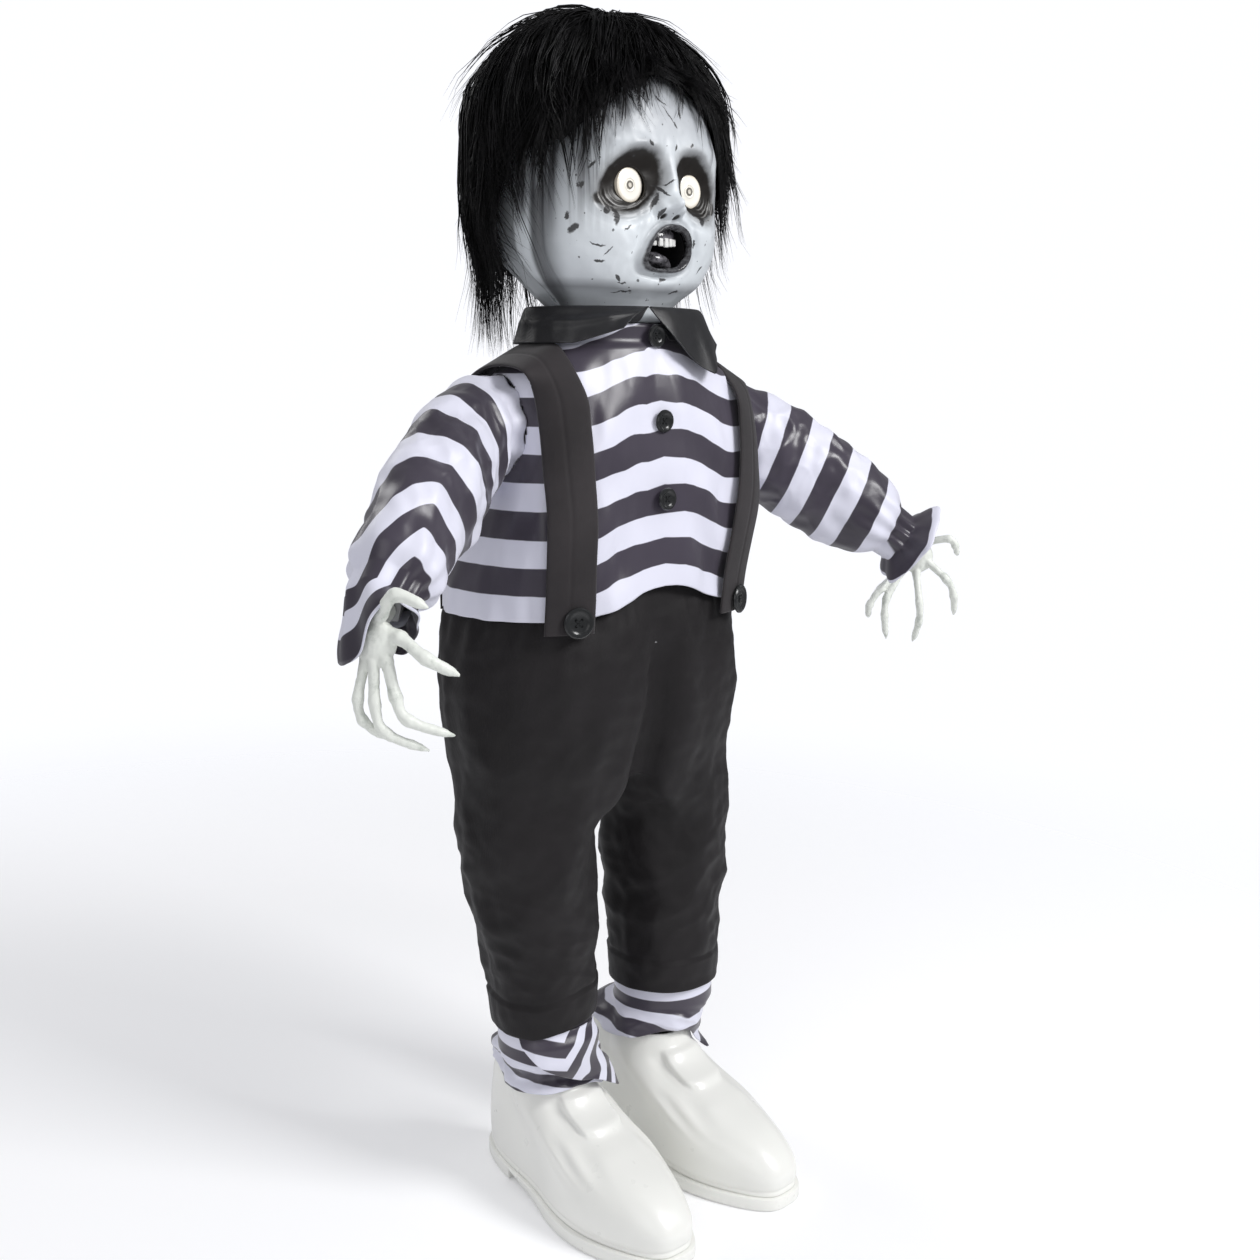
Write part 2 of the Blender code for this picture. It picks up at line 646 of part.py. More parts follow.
def ring_profile(name, inner, outer, low, high, centre, steps=20):
    """A plain ring turned about a vertical axis."""
    me = bpy.data.meshes.new(name)
    bm = bmesh.new()
    corners = ((inner, high), (outer, high), (outer, low), (inner, low))
    vs = [bm.verts.new((r, 0, z)) for r, z in corners]
    for i in range(4):
        bm.edges.new((vs[i], vs[(i + 1) % 4]))
    bm.to_mesh(me)
    bm.free()
    obj = bpy.data.objects.new(name, me)
    obj.location = centre
    m = obj.modifiers.new("turned", "SCREW")
    m.steps = steps
    m.render_steps = steps
    m.use_merge_vertices = True
    m.merge_threshold = 0.00001
    return obj


def gear_bmesh(teeth, low, high, centre, phase):
    """A spur gear: trapezoid teeth on a disc."""
    pitch = GEAR_MODULE * teeth / 2
    root, tip = pitch - 1.2 * GEAR_MODULE, pitch + 0.85 * GEAR_MODULE
    step = 2 * math.pi / teeth
    outline = []
    for k in range(teeth):
        a = phase + k * step
        for r, share in ((root, -0.33), (tip, -0.12), (tip, 0.12), (root, 0.33)):
            outline.append((r * math.cos(a + share * step), r * math.sin(a + share * step)))
    rings = [[(centre[0] + x, centre[1] + y, z) for x, y in outline] for z in (low, high)]
    return loft(rings, caps=True)


def make_neck_drive():
    at = (0.0, NECK_Y)
    bush_low = SHELF_Z + GAP
    put(ring_profile("neck_bushing", SHAFT_R + GAP, BUSH_R, bush_low, bush_low + BUSH_THICK, (0, NECK_Y, 0)),
        FIGURE, "brass")
    gear_low = bush_low + BUSH_THICK + GAP
    gear = mesh_object("head_gear", gear_bmesh(GEAR_TEETH, gear_low, gear_low + GEAR_THICK, at, 0.0))
    hole = cylinder_bmesh(SHAFT_R + GAP, 0.05, (0, NECK_Y, gear_low), sides=16)
    boolean(gear, cutter(mesh_object("gear_bore", hole)))
    put(gear, HEAD, "plastic_grey")

    shaft_top = NECK_LOW_Z + NECK_PLATE_THICK + 0.004
    shaft = cylinder_bmesh(SHAFT_R, shaft_top - SHAFT_LOW_Z, (0, NECK_Y, (shaft_top + SHAFT_LOW_Z) / 2), sides=16)
    put(mesh_object("neck_shaft", shaft), HEAD, "steel")

    wheel = mesh_object("motor_pinion", gear_bmesh(
        PINION_TEETH, gear_low, gear_low + GEAR_THICK, (PINION_X, NECK_Y), math.pi / PINION_TEETH))
    motor_top = SHELF_Z - SHEET - GAP
    stem_low = motor_top + GAP
    stem = cylinder_bmesh(SHAFT_R / 2, gear_low - stem_low + 0.001,
                          (PINION_X, NECK_Y, (gear_low + stem_low + 0.001) / 2), sides=12)
    boolean(wheel, cutter(mesh_object("pinion_stem", stem)), "UNION")
    put(wheel, PINION, "brass")

    size_x, size_y, size_z = MOTOR_SIZE
    motor = box_bmesh(MOTOR_SIZE, (PINION_X, NECK_Y, motor_top - size_z / 2))
    put(bevel(mesh_object("head_motor", motor), 0.002, 1), FIGURE, "plastic_black")


make_neck_drive()


# Speaker and circuit board on the front of the bracket

def make_speaker():
    back = BRACKET_FRONT_Y - GAP
    profile = ((0.000, 0.000), (0.012, 0.000), (0.012, 0.009), (SPEAKER_R - 0.003, 0.013), (SPEAKER_R, 0.013),
               (SPEAKER_R, 0.016), (SPEAKER_R - 0.004, 0.016), (0.010, 0.011), (0.000, 0.009))
    me = bpy.data.meshes.new("speaker")
    bm = bmesh.new()
    vs = [bm.verts.new((r, 0, -h)) for r, h in profile]
    for v, w in zip(vs, vs[1:]):
        bm.edges.new((v, w))
    bm.to_mesh(me)
    bm.free()
    obj = bpy.data.objects.new("speaker", me)
    m = obj.modifiers.new("turned", "SCREW")
    m.steps = 16
    m.render_steps = 16
    m.use_merge_vertices = True
    m.merge_threshold = 0.00001
    obj.rotation_euler = (math.radians(-90), 0, 0)
    obj.location = (0, back, SPEAKER_Z)
    put(obj, FIGURE, "plastic_black")


def make_circuit_board():
    stand = 0.005
    back = BRACKET_FRONT_Y - GAP
    board_y = back - stand - BOARD_SIZE[1] / 2
    board = mesh_object("circuit_board", box_bmesh(BOARD_SIZE, (0, board_y, BOARD_Z)))
    for i, (sx, sz) in enumerate(((-1, -1), (1, -1), (-1, 1), (1, 1))):
        at = (sx * (BOARD_SIZE[0] / 2 - 0.005), back - (stand + 0.0005) / 2, BOARD_Z + sz * (BOARD_SIZE[2] / 2 - 0.005))
        post = cylinder_bmesh(0.0025, stand + 0.0005, at, "Y", 10)
        boolean(board, cutter(mesh_object(f"board_post_{i}", post)), "UNION")
    for i, (x, z, size) in enumerate(((0.008, 0.002, 0.014), (-0.016, -0.006, 0.009))):
        chip = box_bmesh((size, 0.003, size), (x, board_y - BOARD_SIZE[1] / 2 - 0.001, BOARD_Z + z))
        boolean(board, cutter(mesh_object(f"board_chip_{i}", chip)), "UNION")
    put(board, FIGURE, "board_green")


make_speaker()
make_circuit_board()


# Battery box at the lower back: bay with three cells, hinged door, power switch and try-me button

BOX_FRONT_Y = BOX_BACK_Y - BOX_DEPTH
BOX_MID_Z = (BOX_LOW_Z + BOX_TOP_Z) / 2


def make_battery_box():
    box = mesh_object("battery_box", box_bmesh(
        (2 * BOX_HALF_X, BOX_DEPTH, BOX_TOP_Z - BOX_LOW_Z), (0, BOX_FRONT_Y + BOX_DEPTH / 2, BOX_MID_Z)))
    boss_back = BOX_FRONT_Y + 0.001
    boss_front = BRACKET_FRONT_Y + SHEET + GAP
    boss = box_bmesh((0.040, boss_back - boss_front, 0.030), (0, (boss_back + boss_front) / 2, BOX_MID_Z))
    boolean(box, cutter(mesh_object("box_boss", boss)), "UNION")
    recess = DOOR_THICK + 2 * GAP
    bay_depth = 2 * CELL_R + 2 * GAP
    bay = box_bmesh((CELL_LENGTH + 0.002, bay_depth + 0.001, 3 * CELL_PITCH + 0.001),
                    (BAY_X, BOX_BACK_Y - recess - bay_depth / 2 + 0.0005, BOX_MID_Z))
    boolean(box, cutter(mesh_object("cell_bay", bay)))
    door_seat = box_bmesh((2 * (DOOR_HALF_X + 2 * GAP), recess + 0.01, DOOR_HEIGHT + 0.0012),
                          (BAY_X, BOX_BACK_Y - recess / 2 + 0.005, BOX_MID_Z))
    boolean(box, cutter(mesh_object("door_seat", door_seat)))
    slot = box_bmesh((0.0086, 0.016, 0.010 + SWITCH_TRAVEL + 0.0006),
                     (CONTROL_X, BOX_BACK_Y, SWITCH_Z + SWITCH_TRAVEL / 2))
    boolean(box, cutter(mesh_object("switch_slot", slot)))
    well = cylinder_bmesh(0.0063, 0.020, (CONTROL_X, BOX_BACK_Y, TRY_ME_Z), "Y", 20)
    boolean(box, cutter(mesh_object("try_me_well", well)))
    put(box, FIGURE, "plastic_black")

    cell_y = BOX_BACK_Y - recess - GAP - CELL_R
    for i in range(3):
        z = BOX_MID_Z + (i - 1) * CELL_PITCH
        cell = cylinder_bmesh(CELL_R, CELL_LENGTH - 0.002, (BAY_X - 0.0005, cell_y, z), "X", 16)
        body = mesh_object(f"battery_cell_{i + 1}", cell)
        nub = cylinder_bmesh(0.0026, 0.003, (BAY_X + CELL_LENGTH / 2 - 0.001, cell_y, z), "X", 12)
        boolean(body, cutter(mesh_object(f"cell_nub_{i + 1}", nub)), "UNION")
        put(body, FIGURE, "cell_wrap")

    door = box_bmesh((2 * DOOR_HALF_X, DOOR_THICK, DOOR_HEIGHT - 0.0002), (BAY_X, DOOR_AXIS[1], BOX_MID_Z))
    door_obj = bevel(mesh_object("battery_door", door), 0.0009, 1)
    put(door_obj, DOOR, "plastic_black")

    nub_low, nub_high = BOX_BACK_Y - 0.008 + GAP, BOX_BACK_Y + 0.0015
    knob = box_bmesh((0.008, nub_high - nub_low, 0.010), (CONTROL_X, (nub_low + nub_high) / 2, SWITCH_Z))
    put(bevel(mesh_object("power_switch", knob), 0.0006, 1), SWITCH, "plastic_grey")

    push_low = BOX_BACK_Y - 0.010 + TRY_ME_TRAVEL + GAP
    push = cylinder_bmesh(0.006, BOX_BACK_Y + 0.001 - push_low,
                          (CONTROL_X, (push_low + BOX_BACK_Y + 0.001) / 2, TRY_ME_Z), "Y", 20)
    put(bevel(mesh_object("try_me_button", push), 0.0006, 1), TRY_ME, "button_red")


make_battery_box()


# Shirt body: open at the neck, the hem, the two armholes and the access to the battery box

def shirt_fold(a, z):
    """Shallow vertical drape, stronger towards the hem."""
    low = max(0.0, (0.60 - z) / (0.60 - SHIRT_HEM_Z))
    return 0.0011 * low * math.sin(9 * a + 14 * z)


def make_shirt():
    angles = even_angles(32)
    rings = []
    for z in (SHIRT_HEM_Z, 0.497, 0.532, 0.565, 0.600, 0.632, 0.652, 0.664, TORSO_Z[-1]):
        ring = []
        for (x, y, _), a in zip(torso_ring(z, 0.0, angles), angles):
            grow = 1 + shirt_fold(a, z) / 0.1
            lift = 0.009 * max(0.0, math.sin(-a)) ** 6 * max(0.0, 1 - (z - SHIRT_HEM_Z) / 0.03)
            ring.append((x * grow, y * grow, z + lift))
        rings.append(ring)
    under = COLLAR_THICK / 2 + COLLAR_AIR
    band = NECK_BAND_HALF_X - under, NECK_BAND_HALF_Y - under
    for z in (TORSO_Z[-1] + 0.004, NECK_BAND_TOP_Z):
        rings.append([(x, NECK_BAND_Y + y, z) for x, y in (superellipse(*band, 2.1, a) for a in angles)])
    shirt = solidify(mesh_object("shirt_body", loft(rings)), CLOTH)
    for side, word in SIDES:
        hole = cylinder_bmesh(ARMHOLE_R, 0.05, (side * (SHOULDER_X - 0.01), SHOULDER_Y, SHOULDER_Z), "X", 16)
        boolean(shirt, cutter(mesh_object(f"armhole_{word}", hole)))
    access = box_bmesh((2 * (BOX_HALF_X + ACCESS_MARGIN), 0.08, BOX_TOP_Z - BOX_LOW_Z + 2 * ACCESS_MARGIN),
                       (0, BOX_BACK_Y + 0.03, BOX_MID_Z))
    boolean(shirt, cutter(mesh_object("access_cut", access)))
    put(shirt, FIGURE, "striped_satin")


make_shirt()


# Collar: two turned-down wings of black satin round the neck opening

COLLAR_STAND = ((13.0, 0.0), (8.0, 0.6), (5.0, 0.93))          # front opening in degrees, share of the height
COLLAR_TIPS = {-1: (40.0, 0.006, 0.006), 1: (44.0, 0.011, 0.026)}    # azimuth in degrees, reach out, drop


def collar_point(azimuth, side, out, z):
    a = -math.pi / 2 + side * azimuth
    x, y = superellipse(NECK_BAND_HALF_X + out, NECK_BAND_HALF_Y + out, 2.1, a)
    return x, NECK_BAND_Y + y, z


def make_collar(side, word):
    """A stand round the neck band and a leaf folded down over it, with its point at the front."""
    count = 11
    end = math.radians(178.5)
    tip_deg, tip_out, tip_drop = COLLAR_TIPS[side]
    rings = []
    for start_deg, share in COLLAR_STAND:
        start = math.radians(start_deg)
        z = COLLAR_LOW_Z + (COLLAR_FOLD_Z - COLLAR_LOW_Z) * share
        rings.append([collar_point(start + (end - start) * i / (count - 1), side, 0.0005 * share, z)
                      for i in range(count)])
    for u in (0.0, 0.22, 0.6, 1.0):
        start = math.radians(5.0 + (tip_deg - 5.0) * u)
        ring = []
        for i in range(count):
            azimuth = start + (end - start) * (i / (count - 1)) ** 1.3
            near_tip = max(0.0, 1 - math.degrees(azimuth) / (tip_deg + 30)) ** 1.2 * (tip_deg + 30) / 30 * u
            out = 0.0035 + 0.0060 * u + tip_out * near_tip
            z = COLLAR_FOLD_Z - (COLLAR_FOLD_Z - COLLAR_EDGE_Z) * u - tip_drop * near_tip
            ring.append(collar_point(azimuth, side, out, z))
        rings.append(ring)
    if side < 0:
        rings = [list(reversed(r)) for r in rings]
    put(solidify(mesh_object(f"collar_{word}", loft(rings, closed=False)), COLLAR_THICK, 0.0), FIGURE, "black_satin")


for side, word in SIDES:
    make_collar(side, word)


# Buttons: a rimmed disc with four thread holes, sewn to the shirt front and to the brace ends

def button_object(name, radius, at, tilt_deg, turn_deg):
    t = BUTTON_THICK
    bm = cylinder_bmesh(radius, t, (0, 0, 0), "Z", 16)
    top = [f for f in bm.faces if f.normal.z > 0.9]
    bmesh.ops.inset_region(bm, faces=top, thickness=radius * 0.22, depth=0.0)
    bmesh.ops.translate(bm, vec=(0, 0, -t * 0.35), verts=top[0].verts)
    holes = bmesh.new()
    for k in range(4):
        a = math.pi / 4 + k * math.pi / 2
        made = bmesh.ops.create_cone(holes, cap_ends=True, segments=4, radius1=radius * 0.11, radius2=radius * 0.11,
                                     depth=0.01)
        bmesh.ops.translate(holes, vec=(radius * 0.27 * math.cos(a), radius * 0.27 * math.sin(a), 0),
                            verts=made["verts"])
    turn = Matrix.Translation(at) @ Matrix.Rotation(math.radians(turn_deg), 4, "Z")
    turn = turn @ Matrix.Rotation(math.radians(90 - tilt_deg), 4, "X")
    bmesh.ops.transform(bm, matrix=turn, verts=bm.verts)
    bmesh.ops.transform(holes, matrix=turn, verts=holes.verts)
    obj = mesh_object(name, bm)
    return boolean(obj, cutter(mesh_object(name + "_holes", holes)))


def torso_front_y(x, z):
    half_x = between(z, TORSO_Z, TORSO_HALF_X)
    half_y = between(z, TORSO_Z, TORSO_HALF_Y)
    power = between(z, TORSO_Z, TORSO_POWER)
    return between(z, TORSO_Z, TORSO_Y) - half_y * (1 - abs(x / half_x) ** power) ** (1 / power)


def make_shirt_buttons():
    """The top button lies on the collar's front; the others lie on the shirt and lean with it."""
    top_y = NECK_BAND_Y - NECK_BAND_HALF_Y - BUTTON_THICK / 2 - COLLAR_THICK - GAP
    top = button_object("shirt_button_1", SHIRT_BUTTON_R, (0, top_y, COLLAR_LOW_Z + 0.003), 0, 0)
    put(top, FIGURE, "button_black")
    for number, z in ((2, 0.619), (3, 0.562)):
        rise = torso_front_y(0, z + SHIRT_BUTTON_R) - torso_front_y(0, z - SHIRT_BUTTON_R)
        at = (0, torso_front_y(0, z) - BUTTON_THICK / 2 - 2 * GAP, z)
        lean = math.degrees(math.atan2(rise, 2 * SHIRT_BUTTON_R))
        put(button_object(f"shirt_button_{number}", SHIRT_BUTTON_R, at, lean, 0), FIGURE, "button_black")


make_shirt_buttons()


# Braces: one band each side from the front button over the shoulder to the back waist

BRACE_LIFT = 0.0032         # air under a brace on the shirt, which the shirt's folds use up in places
BRACE_X = SHOULDER_X - 0.020
BRACE_LOW_X = BRACE_X - 0.004
BRACE_TOP_X = BRACE_X + 0.0025
BRACE_FRONT = ((SHIRT_HEM_Z + 0.001, BRACE_LOW_X), (0.495, BRACE_LOW_X + 0.001), (0.525, BRACE_X - 0.001),
               (0.555, BRACE_X), (0.585, BRACE_X), (0.615, BRACE_X), (0.640, BRACE_X))
BRACE_BACK = ((0.640, BRACE_X), (0.600, BRACE_X), (0.555, BRACE_X), (0.510, BRACE_X - 0.001),
              (SHIRT_HEM_Z + 0.004, BRACE_X - 0.002))
BRACE_TOP_YS = (-0.046, -0.026, 0.0, 0.024, 0.042)


def band_across(z, x_mid, way):
    """Five places across a band that lies on the shirt at one height, and their outward directions."""
    ring = [Vector(p) for p in torso_ring(z, -BRACE_LIFT, even_angles(241, 0.0, way * math.pi / 2, closed=False))]
    mid = min(range(len(ring)), key=lambda i: abs(ring[i].x - x_mid))
    places = []
    for share in (1.0, 0.5, 0.0, -0.5, -1.0):
        i, walked = mid, 0.0
        step = 1 if share > 0 else -1
        while walked < abs(share) * BRACE_WIDTH / 2 and 0 < i < len(ring) - 1:
            walked += (ring[i + step] - ring[i]).length
            i += step
        before, after = ring[max(i - 1, 0)], ring[min(i + 1, len(ring) - 1)]
        flat = (after - before).normalized()
        out = Vector((abs(flat.y), math.copysign(abs(flat.x), way), 0.0))
        places.append((ring[i], out))
    return places


def torso_top_z(x, y):
    """Height of the shirt's shoulder over a place in plan."""
    low, high = 0.560, TORSO_Z[-1]
    for _ in range(24):
        z = (low + high) / 2
        power = between(z, TORSO_Z, TORSO_POWER)
        reach = (abs(x) / between(z, TORSO_Z, TORSO_HALF_X)) ** power
        reach += (abs(y - between(z, TORSO_Z, TORSO_Y)) / between(z, TORSO_Z, TORSO_HALF_Y)) ** power
        low, high = (z, high) if reach < 1 else (low, z)
    return low


def sleeve_top_z(y):
    """Height of the top of a sleeve's root over a place in plan."""
    return SHOULDER_Z + math.sqrt(max(0.0, SLEEVE_ROOT_R ** 2 - y * y))


def brace_sections():
    """Sections from the front button over the shoulder to the back, each inner edge first."""
    sections = [band_across(z, x, -1) for z, x in BRACE_FRONT]
    for y in BRACE_TOP_YS:
        across = [Vector((BRACE_TOP_X + k * BRACE_WIDTH * 0.46, y, 0.0)) for k in (-1, -0.5, 0, 0.5, 1)]
        for p in across:
            p.z = max(torso_top_z(p.x, y) + BRACE_LIFT, sleeve_top_z(y) + 0.0045)
        for inner, outer in zip(across, across[1:]):
            outer.z = max(outer.z, inner.z - 0.004)
        out = Vector((0.30, y / 0.075, 0.95)).normalized()
        sections.append([(p, out) for p in across])
    sections += [band_across(z, x, 1) for z, x in BRACE_BACK]
    return sections


def make_brace(side, word):
    rings = []
    for places in brace_sections():
        low = [p for p, _ in places]
        high = [p + out * BRACE_THICK for p, out in reversed(places)]
        rings.append([mirrored(p, side) for p in low + high])
    if side > 0:
        rings = [list(reversed(r)) for r in rings]
    band = loft(rings, caps=True)
    bmesh.ops.recalc_face_normals(band, faces=band.faces)
    put(mesh_object(f"brace_{word}", band), FIGURE, "black_twill")


def mirrored(p, side):
    return (side * p[0], p[1], p[2])


for side, word in SIDES:
    make_brace(side, word)
    spot, out = band_across(SHIRT_HEM_Z + 0.010, BRACE_LOW_X, -1)[2]
    at = spot + out * (BRACE_THICK + BUTTON_THICK / 2 + 3 * GAP)
    turn = math.degrees(math.atan2(out.x, -out.y))
    put(button_object(f"brace_button_{word}", BUTTON_R, mirrored(at, side), 0, side * turn), FIGURE, "button_black")


# Arms: a plastic core that turns on the shoulder bar, and a padded-looking sleeve with a gathered frill

SLEEVE_POINTS = ((SHOULDER_X + 0.003, SHOULDER_Y - 0.001, SHOULDER_Z),
                 (SHOULDER_X + 0.028, SHOULDER_Y - 0.010, SHOULDER_Z - 0.006),
                 (SHOULDER_X + 0.084, SHOULDER_Y - 0.052, SHOULDER_Z - 0.043), WRIST)


def bezier(points, t):
    p0, p1, p2, p3 = (Vector(p) for p in points)
    return p0 * (1 - t) ** 3 + p1 * 3 * t * (1 - t) ** 2 + p2 * 3 * t * t * (1 - t) + p3 * t ** 3


def bezier_ahead(points, t):
    return (bezier(points, min(1.0, t + 0.01)) - bezier(points, max(0.0, t - 0.01))).normalized()


WRIST_AHEAD = bezier_ahead(SLEEVE_POINTS, 1.0)


def make_arm_core(side, word):
    bore_depth = BAR_END_X - SHOULDER_X + GAP
    start = Vector((SHOULDER_X + 0.002, SHOULDER_Y, SHOULDER_Z))
    end = Vector(WRIST) - WRIST_AHEAD * 0.002
    knee = end - WRIST_AHEAD * 0.024
    route = (start, start + Vector((0.045, 0.0, 0.0)), knee - WRIST_AHEAD * 0.050, knee)
    steps = 7
    places = [bezier(route, i / steps) for i in range(steps + 1)] + [end - WRIST_AHEAD * 0.019, end]
    points = [mirrored(q, side) for q in places]
    factors = [1.15, 1.15] + [1.0] * (steps - 1) + [WRIST_BOSS_R / ARM_TUBE_R] * 2
    core = tube_mesh(f"arm_core_{word}", points, ARM_TUBE_R, factors, 1)
    bore = cylinder_bmesh(BAR_R + GAP, 2 * bore_depth, (side * SHOULDER_X, SHOULDER_Y, SHOULDER_Z), "X", 20)
    boolean(core, cutter(mesh_object(f"arm_bore_{word}", bore)))
    pin = pin_bmesh(side, WRIST_PIN_R + GAP, WRIST_PIN_LENGTH + GAP)
    boolean(core, cutter(mesh_object(f"wrist_bore_{word}", pin)))
    put(core, ARMS[side], "plastic_grey")


def pin_bmesh(side, radius, length):
    """The wrist pin's place: from the hand back into the end of the arm core."""
    bm = cylinder_bmesh(radius, length + 0.006, (0, 0, 0), "Z", 16)
    ahead = Vector(mirrored(WRIST_AHEAD, side))
    end = Vector(mirrored(Vector(WRIST) - WRIST_AHEAD * 0.002, side))
    centre = end - ahead * (length - 0.006) / 2
    place = Matrix.Translation(centre) @ Vector((0, 0, 1)).rotation_difference(ahead).to_matrix().to_4x4()
    bmesh.ops.transform(bm, matrix=place, verts=bm.verts)
    return bm


def make_sleeve(side, word):
    count = 18
    stops = (0.0, 0.10, 0.24, 0.40, 0.56, 0.70, 0.82, 0.90, 0.945)
    radii = (SLEEVE_ROOT_R, 0.0390, 0.0410, SLEEVE_R - 0.0015, SLEEVE_R, SLEEVE_R, SLEEVE_R - 0.0025, 0.034,
             WRIST_BOSS_R + 2 * GAP + 1.4 * CLOTH)
    rings = []
    for t, r in zip(stops, radii):
        turned = min(1.0, (t / 0.40) ** 1.4)
        ahead = Vector((1, 0, 0)).lerp(bezier_ahead(SLEEVE_POINTS, t), turned).normalized()
        fold = 0.0 if t == stops[-1] else 0.0014 * min(1.0, t * 2)
        rings.append(sleeve_ring(bezier(SLEEVE_POINTS, t), ahead, r, count, fold, 4.0 * t, side))
    end = Vector(WRIST) - WRIST_AHEAD * 0.008
    for j, share in enumerate((0.6, 1.0)):
        centre = end + WRIST_AHEAD * FRILL_LENGTH * (j + 1) / 2
        rings.append(sleeve_ring(centre, WRIST_AHEAD, WRIST_BOSS_R + (FRILL_R - WRIST_BOSS_R) * share, count,
                                 0.003 * share, 0.6, side))
    if side < 0:
        rings = [list(reversed(r)) for r in rings]
    put(solidify(mesh_object(f"sleeve_{word}", loft(rings)), CLOTH), ARMS[side], "striped_satin")


def sleeve_ring(centre, ahead, radius, count, fold, twist, side):
    up = Vector((0, 0, 1))
    level = ahead.cross(up).normalized()
    high = level.cross(ahead).normalized()
    ring = []
    for i in range(count):
        a = 2 * math.pi * i / count
        r = radius + fold * math.sin(7 * a + twist)
        q = centre + level * (r * math.cos(a)) + high * (r * math.sin(a))
        ring.append(mirrored(q, side))
    return list(reversed(ring))


for side, word in SIDES:
    make_arm_core(side, word)
    make_sleeve(side, word)


# Hands: a flat palm with five long bony fingers, bent down at the wrist so that the back of the hand faces out

HAND_FACE_DEG = 42.0        # the hands' broad side faces this far to the figure's right of straight ahead
WRIST_NECK = 0.016          # from the end of the arm to the middle of the heel of the hand
# For each finger its points across, down and out from the heel of the hand, in millimetres
FINGERS = {
    -1: (((12, -7, 8), (24, -20, 19), (40, -15, 22)),
         ((20, 5, 6), (37, 15, 13), (56, 26, 8)),
         ((12, 20, 5), (25, 50, 12), (52, 63, 6)),
         ((6, 20, 4), (9, 47, 11), (16, 60, 10), (38, 74, 4)),
         ((-4, 16, 4), (-5, 40, 10), (2, 53, 9), (14, 64, 4))),
    1: (((-14, 17, 3), (-31, 32, 9), (-40, 46, 9), (-40, 58, 4)),
        ((-12, 17, 4), (-26, 40, 12), (-27, 55, 10), (-24, 77, 4)),
        ((0, 18, 5), (2, 44, 13), (3, 60, 10), (-1, 80, 3)),
        ((8, 8, 5), (25, 24, 12), (32, 38, 10), (34, 56, 4)),
        ((10, -8, 4), (26, -11, 9), (32, -5, 8), (35, 4, 4))),
}
FINGER_R = (0.0066, 0.0060, 0.0060, 0.0056, 0.0050)


def hand_point(side, across, down, out):
    """A place on a hand in metres, from millimetres off the heel of the hand."""
    face = math.radians(HAND_FACE_DEG)
    right = Vector((math.cos(face), -math.sin(face), 0.0))
    front = Vector((-math.sin(face), -math.cos(face), 0.0))
    heel = Vector(mirrored(Vector(WRIST) + WRIST_AHEAD * WRIST_NECK, side))
    return heel + (right * across + front * out - Vector((0, 0, down))) / 1000


def make_hand(side, word):
    fingers = FINGERS[side]
    mid = Vector([sum(f[0][k] for f in fingers[1:]) / 4 for k in range(3)])
    palm = bmesh.new()
    bmesh.ops.create_uvsphere(palm, u_segments=10, v_segments=6, radius=1.0)
    bmesh.ops.scale(palm, vec=(0.0185, 0.0100, 0.0185), verts=palm.verts)
    turn = Matrix.Rotation(-math.radians(HAND_FACE_DEG), 4, "Z")
    bmesh.ops.transform(palm, matrix=Matrix.Translation(hand_point(side, *(mid * 0.55))) @ turn, verts=palm.verts)
    hand = mesh_object(f"hand_{word}", palm)
    ahead = Vector(mirrored(WRIST_AHEAD, side))
    start = Vector(mirrored(WRIST, side)) - ahead * (0.002 - GAP)
    neck = tube_mesh(f"wrist_{word}", [tuple(start + ahead * WRIST_NECK * k / 3) for k in range(4)], 0.0125,
                     (1.0, 1.0, 0.9, 0.7), 2)
    boolean(hand, cutter(neck), "UNION")
    boolean(hand, cutter(mesh_object(f"wrist_pin_{word}", pin_bmesh(side, WRIST_PIN_R, WRIST_PIN_LENGTH - GAP))),
            "UNION")
    for k, (joints, r) in enumerate(zip(fingers, FINGER_R)):
        route = [hand_point(side, 0.25 * joints[0][0], 0.25 * joints[0][1], 0)]
        route += [hand_point(side, *j) for j in joints]
        points = smooth_route(route, 6)
        factors = (1.0, 1.05, 1.0, 0.90, 0.74, 0.16)
        finger = tube_mesh(f"finger_{word}_{k}", [tuple(p) for p in points], r, factors, 1)
        boolean(hand, cutter(finger), "UNION")
    put(hand, HANDS[side], "hand_vinyl")


def smooth_route(points, count):
    """Reads a smooth curve through the given points."""
    out = []
    spans = len(points) - 1
    for i in range(count):
        t = i / (count - 1) * spans
        k = min(int(t), spans - 1)
        u = t - k
        p0, p1 = points[max(k - 1, 0)], points[k]
        p2, p3 = points[k + 1], points[min(k + 2, spans)]
        out.append(0.5 * (2 * p1 + (p2 - p0) * u + (2 * p0 - 5 * p1 + 4 * p2 - p3) * u * u
                          + (3 * p1 - p0 - 3 * p2 + p3) * u ** 3))
    return out


for side, word in SIDES:
    make_hand(side, word)


# Head: one set of sections that the face mask, the back shell, the neck plate and the wig all read

def head_z(share):
    """A height on the head: 0 is the cut of the neck and 1 the crown."""
    return NECK_LOW_Z + HEAD_HEIGHT * share


